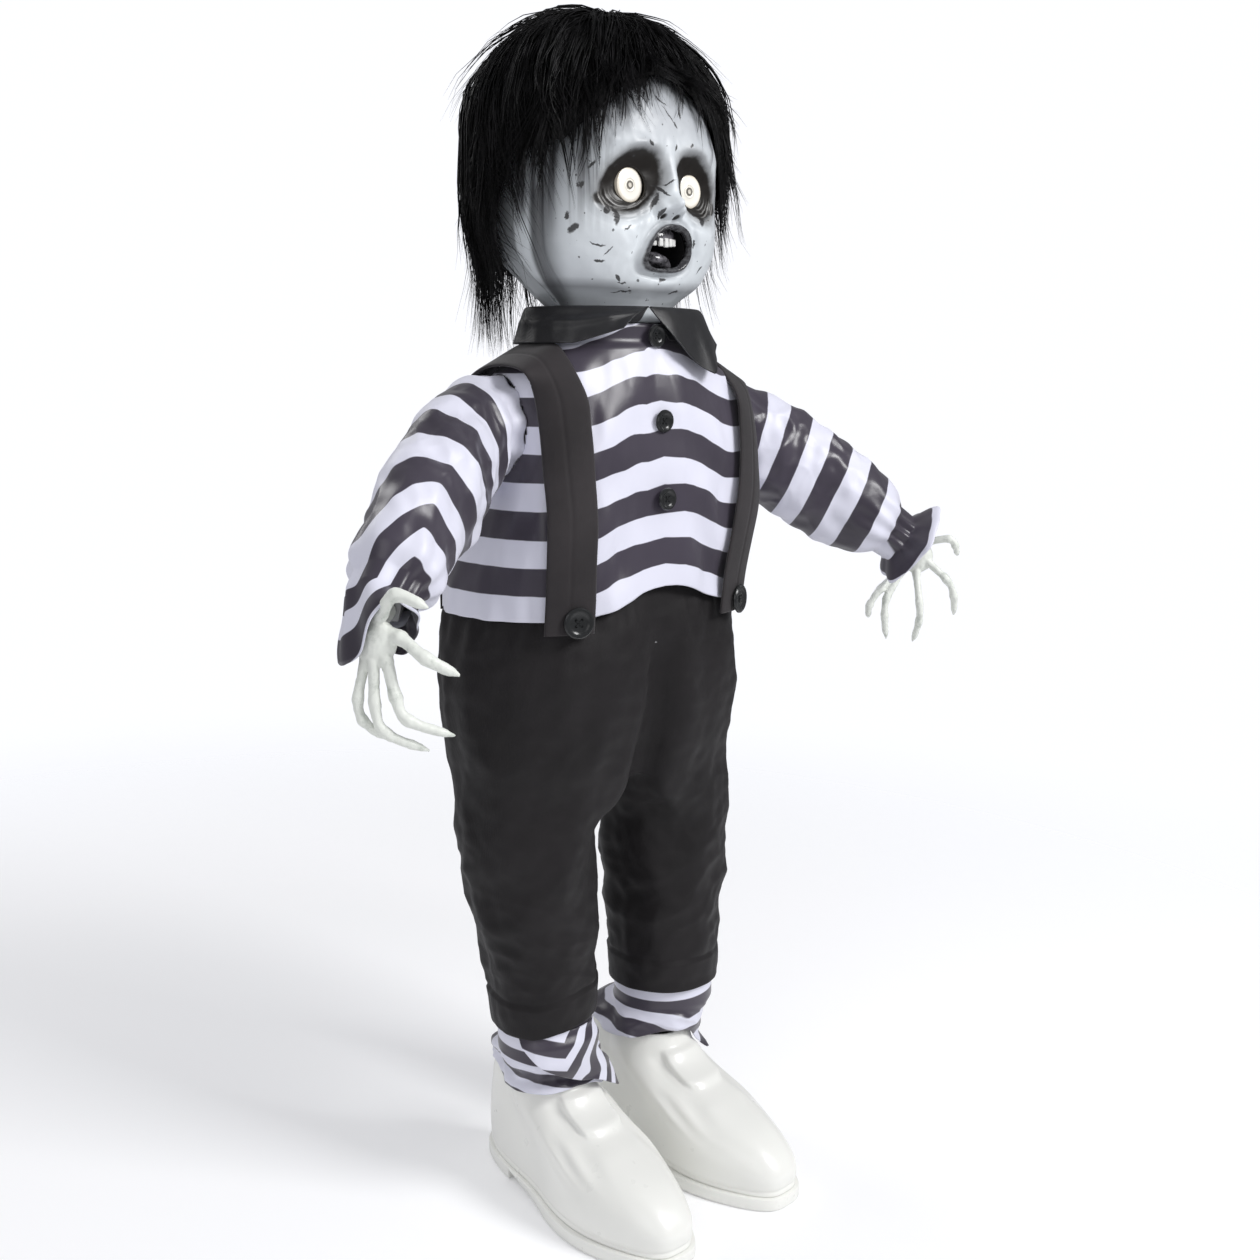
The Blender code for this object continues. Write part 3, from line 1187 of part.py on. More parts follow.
CROWN_Z = head_z(1.0)
EYE_Z = head_z(EYE_SHARE)
MOUTH_Z = head_z(MOUTH_SHARE)
EYE_FACE_Y = HEAD_FRONT_Y + EYE_INSET
HEAD_SHARES = (0.0, 0.049, 0.080, 0.121, 0.178, 0.245, 0.333, 0.411, 0.494, 0.628, 0.762, 0.866, 0.938, 0.979, 1.0)
HEAD_Z = tuple(head_z(share) for share in HEAD_SHARES)
HEAD_HALF_X = (0.047, 0.048, 0.052, 0.061, 0.071, 0.078, 0.080, 0.080, 0.080, 0.079, 0.074, 0.063, 0.048, 0.033,
               0.012)
HEAD_BEHIND = (0.025, 0.025, 0.020, 0.012, 0.007, 0.004, 0.002, 0.001, 0.0, 0.0, 0.006, 0.018, 0.033, 0.046, 0.065)
HEAD_FRONT = tuple(HEAD_FRONT_Y + behind for behind in HEAD_BEHIND)
HEAD_BACK = (0.023, 0.024, 0.028, 0.036, 0.046, 0.054, 0.059, 0.061, 0.062, 0.060, 0.054, 0.042, 0.028, 0.016, 0.002)
HEAD_POWER = (2.1, 2.1, 2.2, 2.4, 2.6, 2.7, 2.7, 2.7, 2.7, 2.6, 2.4, 2.2, 2.1, 2.0, 2.0)
FACE_SWEEP_DEG = 91.0


def head_point(z, azimuth, inset=0.0):
    """A point of the bare head; azimuth 0 is the front and 90 degrees the figure's left."""
    front, back = between(z, HEAD_Z, HEAD_FRONT) + inset, between(z, HEAD_Z, HEAD_BACK) - inset
    half_x = between(z, HEAD_Z, HEAD_HALF_X) - inset
    x, y = superellipse(max(half_x, 0.002), max((back - front) / 2, 0.002), between(z, HEAD_Z, HEAD_POWER),
                        azimuth - math.pi / 2)
    return Vector((x, (front + back) / 2 + y, z))


def bump(x, z, x0, z0, wide, tall):
    return math.exp(-((x - x0) / wide) ** 2 - ((z - z0) / tall) ** 2)


def face_relief(p):
    """How far the face stands out (+) or sinks in (-) at a point of its front."""
    x, z = abs(p.x), p.z
    relief = 0.0055 * bump(x, z, 0.0, EYE_Z - 0.0135, 0.0075, 0.0085)
    relief += 0.0025 * bump(x, z, 0.0, EYE_Z + 0.001, 0.006, 0.012)
    relief -= 0.0075 * bump(x, z, EYE_X, EYE_Z, 0.019, 0.014)
    relief += 0.0025 * bump(x, z, 0.030, EYE_Z + 0.021, 0.022, 0.007)
    relief += 0.0030 * bump(x, z, 0.040, MOUTH_Z + 0.010, 0.020, 0.018)
    relief += 0.0030 * bump(x, z, 0.0, MOUTH_Z - 0.025, 0.014, 0.008)
    relief += 0.0025 * bump(x, z, MOUTH_HALF_WIDTH + 0.004, MOUTH_Z, 0.004, 0.014)
    relief += 0.0025 * bump(x, z, 0.0, MOUTH_Z + MOUTH_HALF_HEIGHT + 0.003, 0.012, 0.004)
    relief += 0.0025 * bump(x, z, 0.0, MOUTH_Z - MOUTH_HALF_HEIGHT - 0.003, 0.012, 0.004)
    return relief


SHELL_SHARES = (0.0, 0.059, 0.106, 0.158, 0.225, 0.297, 0.364, 0.406, 0.447, 0.499, 0.550, 0.607, 0.711, 0.814, 0.907,
                0.969, 1.0)


def head_shell(name, start, sweep, columns, relief):
    levels = [head_z(share) for share in SHELL_SHARES]
    if not relief:
        levels = levels[:2] + levels[2::2]
    rings = []
    for z in levels:
        ring = []
        for i in range(columns):
            a = start + sweep * i / (columns - 1)
            p = head_point(z, a)
            if relief:
                edge = max(0.0, abs(a) / math.radians(FACE_SWEEP_DEG) - 0.93) / 0.07
                p.x += math.copysign(RIM_FLARE * edge * min(1.0, (z - NECK_LOW_Z) / 0.05), p.x) if edge else 0.0
                if p.y < -0.02:
                    p.y -= face_relief(p) * min(1.0, (-0.02 - p.y) / 0.03)
            ring.append(tuple(p))
        rings.append(ring)
    return solidify(mesh_object(name, loft(rings, closed=False)), SHELL)


def make_head_shells():
    sweep = math.radians(FACE_SWEEP_DEG)
    face = head_shell("face_mask", -sweep, 2 * sweep, 25, True)
    for side, word in SIDES:
        hole = cylinder_bmesh(EYE_R + GAP, 0.05, (side * EYE_X, EYE_FACE_Y, EYE_Z), "Y")
        boolean(face, cutter(mesh_object(f"eye_hole_{word}", hole)))
    mouth = cylinder_bmesh(1.0, 0.05, (0, 0, 0), "Y", 18)
    bmesh.ops.scale(mouth, vec=(MOUTH_HALF_WIDTH, 1.0, MOUTH_HALF_HEIGHT), verts=mouth.verts)
    bmesh.ops.translate(mouth, vec=(0, HEAD_FRONT[5], MOUTH_Z), verts=mouth.verts)
    boolean(face, cutter(mesh_object("mouth_hole", mouth)))
    put(face, HEAD, "face_vinyl")
    seam = math.radians(0.6)
    back = head_shell("head_back_shell", sweep + seam, 2 * (math.pi - sweep - seam), 11, False)
    back.location.y = 0.0012
    put(back, HEAD, "face_vinyl")


def make_neck_plate():
    low = NECK_LOW_Z + 0.0005
    rings = []
    for z in (low, low + NECK_PLATE_THICK):
        rings.append([tuple(head_point(z, a, SHELL + 0.0006)) for a in even_angles(26)])
    plate = mesh_object("neck_plate", loft(rings, caps=True))
    hub = cylinder_bmesh(0.009, 0.012, (0, NECK_Y, low + 0.006), sides=20)
    boolean(plate, cutter(mesh_object("neck_hub", hub)), "UNION")
    bore = cylinder_bmesh(SHAFT_R + GAP, 0.020, (0, NECK_Y, NECK_LOW_Z), sides=16)
    boolean(plate, cutter(mesh_object("neck_plate_bore", bore)))
    put(plate, HEAD, "plastic_grey")


make_head_shells()
make_neck_plate()


# Eyes: a lit lens in each socket with its lamp behind, and the dark mouth with teeth and tongue

def make_eyes():
    for side, word in SIDES:
        x = side * EYE_X
        lens = cylinder_bmesh(EYE_R, LENS_THICK, (x, EYE_FACE_Y + LENS_THICK / 2, EYE_Z), "Y")
        put(bevel(mesh_object(f"eye_lens_{word}", lens), 0.0012, 1), HEAD, "lens_white")
        lamp_front = EYE_FACE_Y + LENS_THICK + GAP
        lamp = cylinder_bmesh(LAMP_R, 0.008, (x, lamp_front + 0.004, EYE_Z), "Y", 16)
        put(mesh_object(f"eye_lamp_{word}", lamp), HEAD, "lens_white")


def make_mouth():
    front = HEAD_FRONT[5] + SHELL + 0.0035
    shape = []
    for back, scale in ((0.0, 1.16), (0.45, 1.02), (1.0, 0.72)):
        shape.append([(MOUTH_HALF_WIDTH * scale * math.cos(a), front + MOUTH_DEPTH * back,
                       MOUTH_Z + MOUTH_HALF_HEIGHT * scale * math.sin(a)) for a in even_angles(18)])
    bm = loft(shape)
    bm.faces.new([v for v in bm.verts if v.co.y > front + MOUTH_DEPTH * 0.99])
    bmesh.ops.recalc_face_normals(bm, faces=bm.faces)
    liner = solidify(mesh_object("mouth_liner", bm), 0.0016, 1.0)
    put(liner, HEAD, "lining_black")

    teeth_y = front + 0.003
    wide = MOUTH_HALF_WIDTH * 0.62
    top = MOUTH_Z + MOUTH_HALF_HEIGHT * 0.70
    bar = mesh_object("upper_teeth", box_bmesh((2 * wide, 0.004, 0.0035), (0, teeth_y + 0.002, top)))
    for k in range(5):
        x = (k - 2) * wide * 0.38
        tooth = box_bmesh((wide * 0.33, 0.0030, 0.007), (x, teeth_y + 0.0018, top - 0.004))
        boolean(bar, cutter(mesh_object(f"tooth_{k + 1}", tooth)), "UNION")
    put(bar, HEAD, "tooth_white")

    tongue = bmesh.new()
    bmesh.ops.create_uvsphere(tongue, u_segments=12, v_segments=6, radius=1.0)
    bmesh.ops.scale(tongue, vec=(MOUTH_HALF_WIDTH * 0.56, 0.008, 0.0042), verts=tongue.verts)
    bmesh.ops.translate(tongue, vec=(0, front + 0.0095, MOUTH_Z - MOUTH_HALF_HEIGHT * 0.68), verts=tongue.verts)
    put(mesh_object("tongue", tongue), HEAD, "tongue_dark")


make_eyes()
make_mouth()


# Wig: a shaggy cap over the top, the back and the sides, with its locks as a jagged lower edge

WIG_SIDE_DEG = (0, 16, 34, 52, 68, 86, 94, 106, 120, 180)
WIG_EDGE_NEAR = (0.866, 0.835, 0.731, 0.628, 0.587, 0.576, 0.163, 0.090, 0.059, 0.039)
WIG_EDGE_FAR = (0.866, 0.835, 0.721, 0.566, 0.421, 0.318, 0.163, 0.090, 0.059, 0.039)
WIG_FULL = (0.012, 0.010, 0.009, 0.010, 0.012, 0.014, 0.016, 0.019, 0.022, 0.024)
WIG_COLUMNS = 36
WIG_STEPS = 9
WIG_AIR = 0.0028            # between the hair's inner face and the head's own curve


def wig_edge_z(a):
    """Lower edge of the hair: high over the face, down towards the collar at the sides and the back."""
    edge = WIG_EDGE_NEAR if a < 0 else WIG_EDGE_FAR
    return head_z(between(abs(math.degrees(a)), WIG_SIDE_DEG, edge))


def wig_point(a, t, tooth, outer):
    """A point of the hair's outer or inner face; t runs from the crown (0) to the lower edge (1)."""
    edge = wig_edge_z(a) + tooth * t ** 3
    z = CROWN_Z - (CROWN_Z - edge) * t ** 1.35
    flare = RIM_FLARE + 0.0015 if 64 < abs(math.degrees(a)) < 104 else 0.0
    skin = head_point(max(z, head_z(0.23)), a, -WIG_AIR - flare)
    skin.z = z + 0.0016 * max(0.0, 1 - 2.2 * t)
    if not outer:
        return tuple(skin)
    flat = Vector((skin.x, skin.y - NECK_Y, 0.0)).normalized()
    full = between(abs(math.degrees(a)), WIG_SIDE_DEG, WIG_FULL)
    crest = 1 + 0.45 * math.exp(-((z - head_z(0.85)) / 0.030) ** 2)
    tuft = 1 + 0.12 * math.sin(7 * a + 5 * t) * t + 0.08 * math.sin(13 * a - 9 * t) * t
    thick = max(0.004, full * crest * tuft * (1 - 0.5 * t ** 4))
    rise = WIG_RISE * math.cos(math.pi / 2 * min(1.0, 1.9 * t))
    return tuple(skin + flat * thick * math.sin(math.pi / 2 * min(1.0, 0.25 + 1.9 * t)) + Vector((0, 0, rise)))


def make_wig():
    """A thick bowl: rings down the outer face, round the edge and up the inner face."""
    rings = []
    for outer in (True, False):
        steps = range(WIG_STEPS) if outer else range(WIG_STEPS - 1, -1, -1)
        for k in steps:
            ring = []
            for i in range(WIG_COLUMNS):
                a = -math.pi + 2 * math.pi * (i + 0.5) / WIG_COLUMNS
                ring.append(wig_point(a, k / (WIG_STEPS - 1), 0.006 if i % 2 else -0.006, outer))
            rings.append(ring)
    bm = loft(rings, caps=True)
    bmesh.ops.recalc_face_normals(bm, faces=bm.faces)
    put(mesh_object("wig", bm), HEAD, "wig_black")


make_wig()
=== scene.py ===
# %% [markdown]
# # A scare doll in a striped shirt
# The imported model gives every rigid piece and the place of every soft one. This lesson dresses it: first
# the camera and the light, then the paints and cloths, then the soft pieces one by one.

import json
import math
import random
from contextlib import contextmanager

import bmesh
import bpy
from mathutils import Matrix, Vector, noise


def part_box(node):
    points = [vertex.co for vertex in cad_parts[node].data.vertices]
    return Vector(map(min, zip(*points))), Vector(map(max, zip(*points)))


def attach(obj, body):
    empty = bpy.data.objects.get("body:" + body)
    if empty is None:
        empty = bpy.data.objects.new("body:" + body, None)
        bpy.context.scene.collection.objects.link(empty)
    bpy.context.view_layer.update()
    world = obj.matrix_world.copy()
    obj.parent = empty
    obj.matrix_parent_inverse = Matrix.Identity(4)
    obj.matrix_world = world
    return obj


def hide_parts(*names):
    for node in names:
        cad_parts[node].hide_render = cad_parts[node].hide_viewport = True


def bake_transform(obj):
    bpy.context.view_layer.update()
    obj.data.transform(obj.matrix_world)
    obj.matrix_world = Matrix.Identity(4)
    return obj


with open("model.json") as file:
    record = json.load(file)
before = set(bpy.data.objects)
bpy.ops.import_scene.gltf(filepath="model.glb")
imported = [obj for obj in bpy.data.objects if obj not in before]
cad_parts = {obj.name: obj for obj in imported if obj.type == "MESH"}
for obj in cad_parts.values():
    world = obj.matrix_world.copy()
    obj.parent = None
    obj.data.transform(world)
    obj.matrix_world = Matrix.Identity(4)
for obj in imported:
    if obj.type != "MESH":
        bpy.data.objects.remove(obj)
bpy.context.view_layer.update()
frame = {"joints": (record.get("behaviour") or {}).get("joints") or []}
JOINTS = {j["name"]: j for j in frame["joints"]}
SIDES = ((-1, "right"), (1, "left"))
SHIFT_Y = JOINTS["arm_swing_left"]["pos_m"][1]      # the figure's own middle plane in the frame

# %% [markdown]
# ## Camera
# The photograph looks down a little at the doll from its front right. A camera needs only a place, a
# direction and a focal length. With a 36 mm sensor, the lens is the focal length in pixels times 36 over
# the picture's width.

# %% Place the camera
PICTURE, SENSOR_MM = 1260, 36.0
FOCAL_PX = 1403.0
CAMERA_AT = Vector((-0.7160, -0.8345 + SHIFT_Y, 0.6560))
CAMERA_LOOK = Vector((0.6579, 0.7307, -0.1822))

view = bpy.data.cameras.new("camera")
view.lens = FOCAL_PX * SENSOR_MM / PICTURE
view.sensor_width = SENSOR_MM
view.clip_start = 0.02
camera = bpy.data.objects.new("camera", view)
camera.location = CAMERA_AT
camera.rotation_euler = CAMERA_LOOK.to_track_quat("-Z", "Y").to_euler()
bpy.context.scene.collection.objects.link(camera)
bpy.context.scene.camera = camera
bpy.context.scene.view_settings.view_transform = "Standard"
print("lens", round(view.lens, 2), "mm")

# %% [markdown]
# ## Shader sums
# Material maths reads best as sums. A small class holds one socket and turns `a * b + 1` into Math nodes.
# Everything else is one call that makes a node, sets it and joins its sockets.

# %% A socket that can be added and multiplied
class Wire:
    def __init__(self, finish, socket):
        self.finish, self.socket = finish, socket

    def step(self, start, end):
        """0 below start, 1 above end, and smooth between them. With start above end it falls instead."""
        low, high, at_low, at_high = (start, end, 0.0, 1.0) if start < end else (end, start, 1.0, 0.0)
        return self.finish.add("ShaderNodeMapRange", {0: self, 1: low, 2: high, 3: at_low, 4: at_high},
                               interpolation_type="SMOOTHSTEP")


def math_method(operation, swapped):
    """A method that adds one Math node. Swapped puts the socket second, as in 1 - a."""
    def method(wire, *others):
        values = (*others, wire) if swapped else (wire, *others)
        return wire.finish.add("ShaderNodeMath", dict(enumerate(values)), operation=operation)
    return method


OPERATIONS = {"__add__": "ADD", "__sub__": "SUBTRACT", "__mul__": "MULTIPLY", "__truediv__": "DIVIDE",
              "__pow__": "POWER", "__abs__": "ABSOLUTE", "wave": "SINE", "part": "FRACT", "top": "MAXIMUM",
              "low": "MINIMUM", "__radd__": "ADD", "__rsub__": "SUBTRACT"}
for method_name, operation in OPERATIONS.items():
    setattr(Wire, method_name, math_method(operation, method_name.startswith("__r")))


# %% A material under construction
class Finish:
    def __init__(self, name, **constants):
        self.material = bpy.data.materials.new(name)
        self.material.use_nodes = True
        self.tree = self.material.node_tree
        self.shader = self.tree.nodes["Principled BSDF"]
        for key, value in constants.items():
            self.shader.inputs[key.replace("_", " ")].default_value = value

    def add(self, kind, inputs=None, out=0, **settings):
        node = self.tree.nodes.new(kind)
        for key, value in settings.items():
            setattr(node, key, value)
        for key, value in (inputs or {}).items():
            self.join(value, node.inputs[key])
        return Wire(self, node.outputs[out])

    def join(self, value, socket):
        if isinstance(value, Wire):
            self.tree.links.new(value.socket, socket)
        elif socket.type == "RGBA":
            socket.default_value = (*value[:3], 1.0)
        else:
            socket.default_value = value

    def place(self):
        return self.add("ShaderNodeTexCoord", out="Object")

    def attribute(self, name):
        return self.add("ShaderNodeAttribute", out="Vector", attribute_name=name)

    def split(self, vector):
        node = self.add("ShaderNodeSeparateXYZ", {0: vector}).socket.node
        return [Wire(self, node.outputs[k]) for k in range(3)]

    def noise(self, vector, scale, detail=2.0, roughness=0.5, stretch=(1, 1, 1)):
        if stretch != (1, 1, 1):
            vector = self.add("ShaderNodeMapping", {"Vector": vector, "Scale": stretch})
        inputs = {"Vector": vector, "Scale": scale, "Detail": detail, "Roughness": roughness}
        return self.add("ShaderNodeTexNoise", inputs)

    def mix(self, factor, a, b):
        return self.add("ShaderNodeMix", {0: factor, 6: a, 7: b}, out=2, data_type="RGBA")

    def bump(self, height, strength=0.3, distance=0.001):
        normal = self.add("ShaderNodeBump", {"Height": height, "Strength": strength, "Distance": distance})
        self.join(normal, self.shader.inputs["Normal"])

    def set(self, **sockets):
        for key, value in sockets.items():
            self.join(value, self.shader.inputs[key.replace("_", " ")])


def srgb(*numbers):
    """A colour read off a picture, 0 to 255, as the light values that a shader wants."""
    parts = [n / 255 for n in numbers]
    return tuple(v / 12.92 if v <= 0.04045 else ((v + 0.055) / 1.055) ** 2.4 for v in parts)


def shaded(colour, factor):
    return tuple(factor * c for c in colour)


print("shader helpers ready")

# %% [markdown]
# ## Cloth finishes
# The shirt is thin printed satin: wide dark and white bands, a fine weave that only shows close up, and a
# soft shine. The band's place comes from an attribute stored on the mesh, so the stripes follow every fold.
# The trousers and braces are a matt, nearly black woven cloth.

# %% Satin with bands, twill and black satin
DARK_BAND = srgb(64, 59, 70)
WHITE_BAND = srgb(226, 226, 240)
TWILL = srgb(26, 23, 25)
WEAVE = 2 * math.pi / 0.00065


def weave(f, vector):
    x, y, z = f.split(vector)
    return (x * WEAVE).wave() * 0.4 + (y * WEAVE).wave() * 0.2 + (z * WEAVE).wave() * 0.4


def striped_satin(name, pitch, start):
    """A dark and a white band on each pitch, read from the second number of the cloth attribute."""
    f = Finish(name, Sheen_Weight=0.15, Specular_IOR_Level=0.5)
    at, cloth = f.place(), f.attribute("cloth")
    _, along, _ = f.split(cloth)
    wobble = (f.noise(at, 60.0) - 0.5) * 0.0006
    saw = ((along + wobble - start) / pitch).part()
    edge = 0.0004 / pitch
    white = saw.step(0.5 - edge, 0.5 + edge) * saw.step(1.0, 1.0 - 2 * edge)
    shade = f.noise(at, 9.0, 3.0)
    dark = f.mix(shade.step(0.35, 0.75), shaded(DARK_BAND, 0.82), shaded(DARK_BAND, 1.20))
    pale = f.mix(shade.step(0.35, 0.75), shaded(WHITE_BAND, 0.93), WHITE_BAND)
    f.set(Base_Color=f.mix(white, dark, pale),
          Roughness=0.30 + white * 0.14 + (f.noise(at, 40.0) - 0.5) * 0.10)
    f.bump(weave(f, at) * 0.6 + f.noise(at, 300.0) * 0.8, 0.10, 0.0002)
    return f.material


def woven(name, colour, roughness, shine, sheen=0.25):
    f = Finish(name, Sheen_Weight=sheen, Sheen_Roughness=0.5, Specular_IOR_Level=shine)
    at = f.place()
    shade = f.noise(at, 14.0, 4.0, 0.6)
    f.set(Base_Color=f.mix(shade.step(0.3, 0.7), shaded(colour, 0.78), shaded(colour, 1.22)),
          Roughness=roughness + (f.noise(at, 90.0) - 0.5) * 0.12)
    f.bump(weave(f, at) + f.noise(at, 420.0) * 0.7, 0.22, 0.0003)
    return f.material


# The length of a dark and a white band together, and where the first one begins
SHIRT_PITCH, SHIRT_START = 0.0398, 0.4576
CUFF_PITCH, CUFF_START = 0.0205, 0.003
SHIRT_SATIN = striped_satin("shirt_satin", SHIRT_PITCH, SHIRT_START)
CUFF_SATIN = striped_satin("cuff_satin", CUFF_PITCH, CUFF_START)
TWILL_CLOTH = woven("trouser_twill", TWILL, 0.58, 0.30, 0.05)
BRACE_CLOTH = woven("brace_twill", srgb(44, 40, 42), 0.70, 0.3, 0.14)
COLLAR_SATIN = woven("collar_satin", srgb(25, 25, 28), 0.32, 0.7, 0.03)
print("cloths made")

# %% [markdown]
# ## Skin of the doll
# The face, hands and shoes are soft vinyl, and the inner parts are plain plastic or metal. The face is
# sprayed, which comes with the head further down.

# %% Shoe, hand and plain plastics
def worn_plastic(name, colour, roughness, metallic=0.0, grain=0.25, spread=0.12, **constants):
    f = Finish(name, **constants)
    at = f.place()
    shade = f.noise(at, 22.0, 4.0)
    f.set(Base_Color=f.mix(shade.step(0.3, 0.7), shaded(colour, 1 - spread), colour),
          Roughness=roughness + (f.noise(at, 60.0, 3.0) - 0.5) * 0.14, Metallic=metallic)
    f.bump(f.noise(at, 700.0, 2.0), grain, 0.00015)
    return f.material


SHOE_VINYL = worn_plastic("shoe_vinyl", srgb(243, 243, 238), 0.30, grain=0.04, spread=0.02, Coat_Weight=0.30,
                          Coat_Roughness=0.16)
BLACK_PLASTIC = worn_plastic("black_plastic", (0.028, 0.028, 0.028), 0.5)
GREY_PLASTIC = worn_plastic("grey_plastic", (0.34, 0.34, 0.35), 0.5)
GLOSS_BLACK = worn_plastic("gloss_black", (0.022, 0.023, 0.024), 0.22, grain=0.05)
RED_PLASTIC = worn_plastic("red_plastic", (0.55, 0.03, 0.03), 0.35, grain=0.08)
STEEL = worn_plastic("steel", (0.56, 0.57, 0.59), 0.34, metallic=1.0, grain=0.2)
BRASS = worn_plastic("brass", (0.70, 0.52, 0.22), 0.34, metallic=1.0, grain=0.2)
BOARD_GREEN = worn_plastic("board_green", (0.03, 0.20, 0.09), 0.5)
CELL_WRAP = worn_plastic("cell_wrap", (0.12, 0.13, 0.16), 0.35, grain=0.05)
LINING = worn_plastic("mouth_black", (0.008, 0.008, 0.009), 0.5)
TOOTH = worn_plastic("tooth_enamel", (0.84, 0.84, 0.82), 0.22, grain=0.04)


def hand_vinyl():
    f = Finish("hand_vinyl", Specular_IOR_Level=0.45)
    at = f.place()
    # Grey-green painted shade for the creases between the tendons, scattered by noise; there the vinyl is
    # also rougher.
    crease = f.noise(at, 70.0, 5.0, 0.65).step(0.52, 0.74)
    pale, green = srgb(233, 236, 229), srgb(170, 178, 168)
    f.set(Base_Color=f.mix(crease * 0.75, pale, green), Roughness=0.42 + crease * 0.15)
    f.bump(f.noise(at, 160.0, 4.0, 0.6, stretch=(1, 1, 0.4)), 0.25, 0.0008)
    return f.material


HAND_VINYL = hand_vinyl()
print("plastics made")

# %% [markdown]
# ## Light and floor
# One large soft lamp stands high at the doll's left front, so the shadow falls softly to the back left of
# the picture. The world fills the rest evenly. The floor shows white to the camera but still keeps the
# shadow.

# %% World, lamps and floor
world = bpy.data.worlds.new("studio")
bpy.context.scene.world = world
world.use_nodes = True
sky = world.node_tree.nodes["Background"]
sky.inputs["Color"].default_value = (0.95, 0.96, 1.0, 1.0)
paths = world.node_tree.nodes.new("ShaderNodeLightPath")


def sky_sum(operation, *values):
    node = world.node_tree.nodes.new("ShaderNodeMath")
    node.operation = operation
    for socket, value in zip(node.inputs, values):
        if isinstance(value, float):
            socket.default_value = value
        else:
            world.node_tree.links.new(value, socket)
    return node.outputs[0]


# White to the camera, softer as a light, and dim in reflections so that black cloth and hair stay black
seen = sky_sum("MAXIMUM", paths.outputs["Is Camera Ray"], paths.outputs["Is Transmission Ray"])
bright = sky_sum("MULTIPLY_ADD", seen, 0.55, 0.50)
dim = sky_sum("MULTIPLY_ADD", paths.outputs["Is Glossy Ray"], -0.33, bright)
world.node_tree.links.new(dim, sky.inputs["Strength"])


def lamp(name, at, target, size, watts):
    data = bpy.data.lights.new(name, "AREA")
    data.shape = "SQUARE"
    data.size = size
    data.energy = watts
    obj = bpy.data.objects.new(name, data)
    obj.location = at
    obj.rotation_euler = (Vector(target) - Vector(at)).to_track_quat("-Z", "Y").to_euler()
    bpy.context.scene.collection.objects.link(obj)


lamp("key", (0.65, -1.62, 1.68), (0, 0, 0.42), 0.75, 31.5)
lamp("fill", (-1.7, -1.0, 1.1), (0, 0, 0.5), 1.4, 6.0)
lamp("back", (-0.3, 1.6, 1.6), (0, 0, 0.6), 1.0, 8.0)


def make_floor():
    """A white disc that fades out before the horizon, so only the shadow on it shows."""
    bm = bmesh.new()
    bmesh.ops.create_circle(bm, segments=96, radius=2.6, cap_ends=True)
    me = bpy.data.meshes.new("floor")
    bm.to_mesh(me)
    bm.free()
    floor = bpy.data.objects.new("floor", me)
    floor.location = (-0.25, 0.25, -0.0005)
    bpy.context.scene.collection.objects.link(floor)
    f = Finish("floor_paper", Roughness=0.9, Specular_IOR_Level=0.1)
    x, y, _ = f.split(f.place())
    ray = f.add("ShaderNodeLightPath", out="Is Camera Ray")
    away = (x * x + y * y) ** 0.5
    f.set(Base_Color=(0.90, 0.90, 0.91), Emission_Color=(1.0, 1.0, 1.0), Emission_Strength=ray * 0.15,
          Alpha=away.step(1.7, 0.5))
    me.materials.append(f.material)


make_floor()
print("studio ready")

# %% [markdown]
# ## Making a cloth piece
# A garment is a sheet wrapped round a body. A flat grid comes from one operator, and a function then says
# where each point of the sheet lies: how far round (u) and how far along (v). The same function keeps the
# sheet's own length in an attribute, which the stripes read. A thickness comes from a modifier.

# %% Grid, folds and finishing helpers
def curve(x, xs, ys):
    """A smooth reading of a profile: through every point, without corners."""
    if x <= xs[0]:
        return ys[0]
    if x >= xs[-1]:
        return ys[-1]
    k = max(i for i in range(len(xs) - 1) if xs[i] <= x)
    t = (x - xs[k]) / (xs[k + 1] - xs[k])
    slope = []
    for i in (k, k + 1):
        a, b = max(i - 1, 0), min(i + 1, len(xs) - 1)
        slope.append((ys[b] - ys[a]) / (xs[b] - xs[a]) * (xs[k + 1] - xs[k]))
    return ((2 * t ** 3 - 3 * t * t + 1) * ys[k] + (t ** 3 - 2 * t * t + t) * slope[0]
            + (3 * t * t - 2 * t ** 3) * ys[k + 1] + (t ** 3 - t * t) * slope[1])


def hill(x, middle, width):
    return math.exp(-((x - middle) / width) ** 2)


def smooth(x, start, end):
    t = max(0.0, min(1.0, (x - start) / (end - start)))
    return t * t * (3 - 2 * t)


def rumple(p, size, seed=0.0):
    """Soft noise between -1 and 1 at a scale in metres."""
    return noise.noise(Vector((p[0] / size + seed, p[1] / size - seed, p[2] / size + 2 * seed)))


def crumple(p, size, seed=0.0):
    """Sharp creases with soft hollows between them, as in thin stiff cloth."""
    a = 1 - abs(rumple(p, size, seed)) * 2
    b = 1 - abs(rumple(p, size * 0.45, seed + 7.3)) * 2
    return 0.7 * a + 0.3 * b


def superellipse(half_x, half_y, power, angle):
    c, s = math.cos(angle), math.sin(angle)
    share = 2 / power
    return half_x * math.copysign(abs(c) ** share, c), half_y * math.copysign(abs(s) ** share, s)


def placed(p, side=1):
    """From the figure's own middle plane to the frame; side -1 mirrors the point to the figure's right."""
    return Vector((side * p.x, p.y + SHIFT_Y, p.z))


def outward(p, x=0.0, y=0.0):
    """The level direction to a point from an upright line, which stands in the figure's middle by default."""
    return Vector((p.x - x, p.y - SHIFT_Y - y, 0.0)).normalized()


def link_mesh(name, me):
    me.shade_smooth()
    obj = bpy.data.objects.new(name, me)
    bpy.context.scene.collection.objects.link(obj)
    return obj


def from_bmesh(name, bm):
    me = bpy.data.meshes.new(name)
    bm.to_mesh(me)
    bm.free()
    return link_mesh(name, me)


def whole(bm):
    return bm.verts[:] + bm.edges[:] + bm.faces[:]


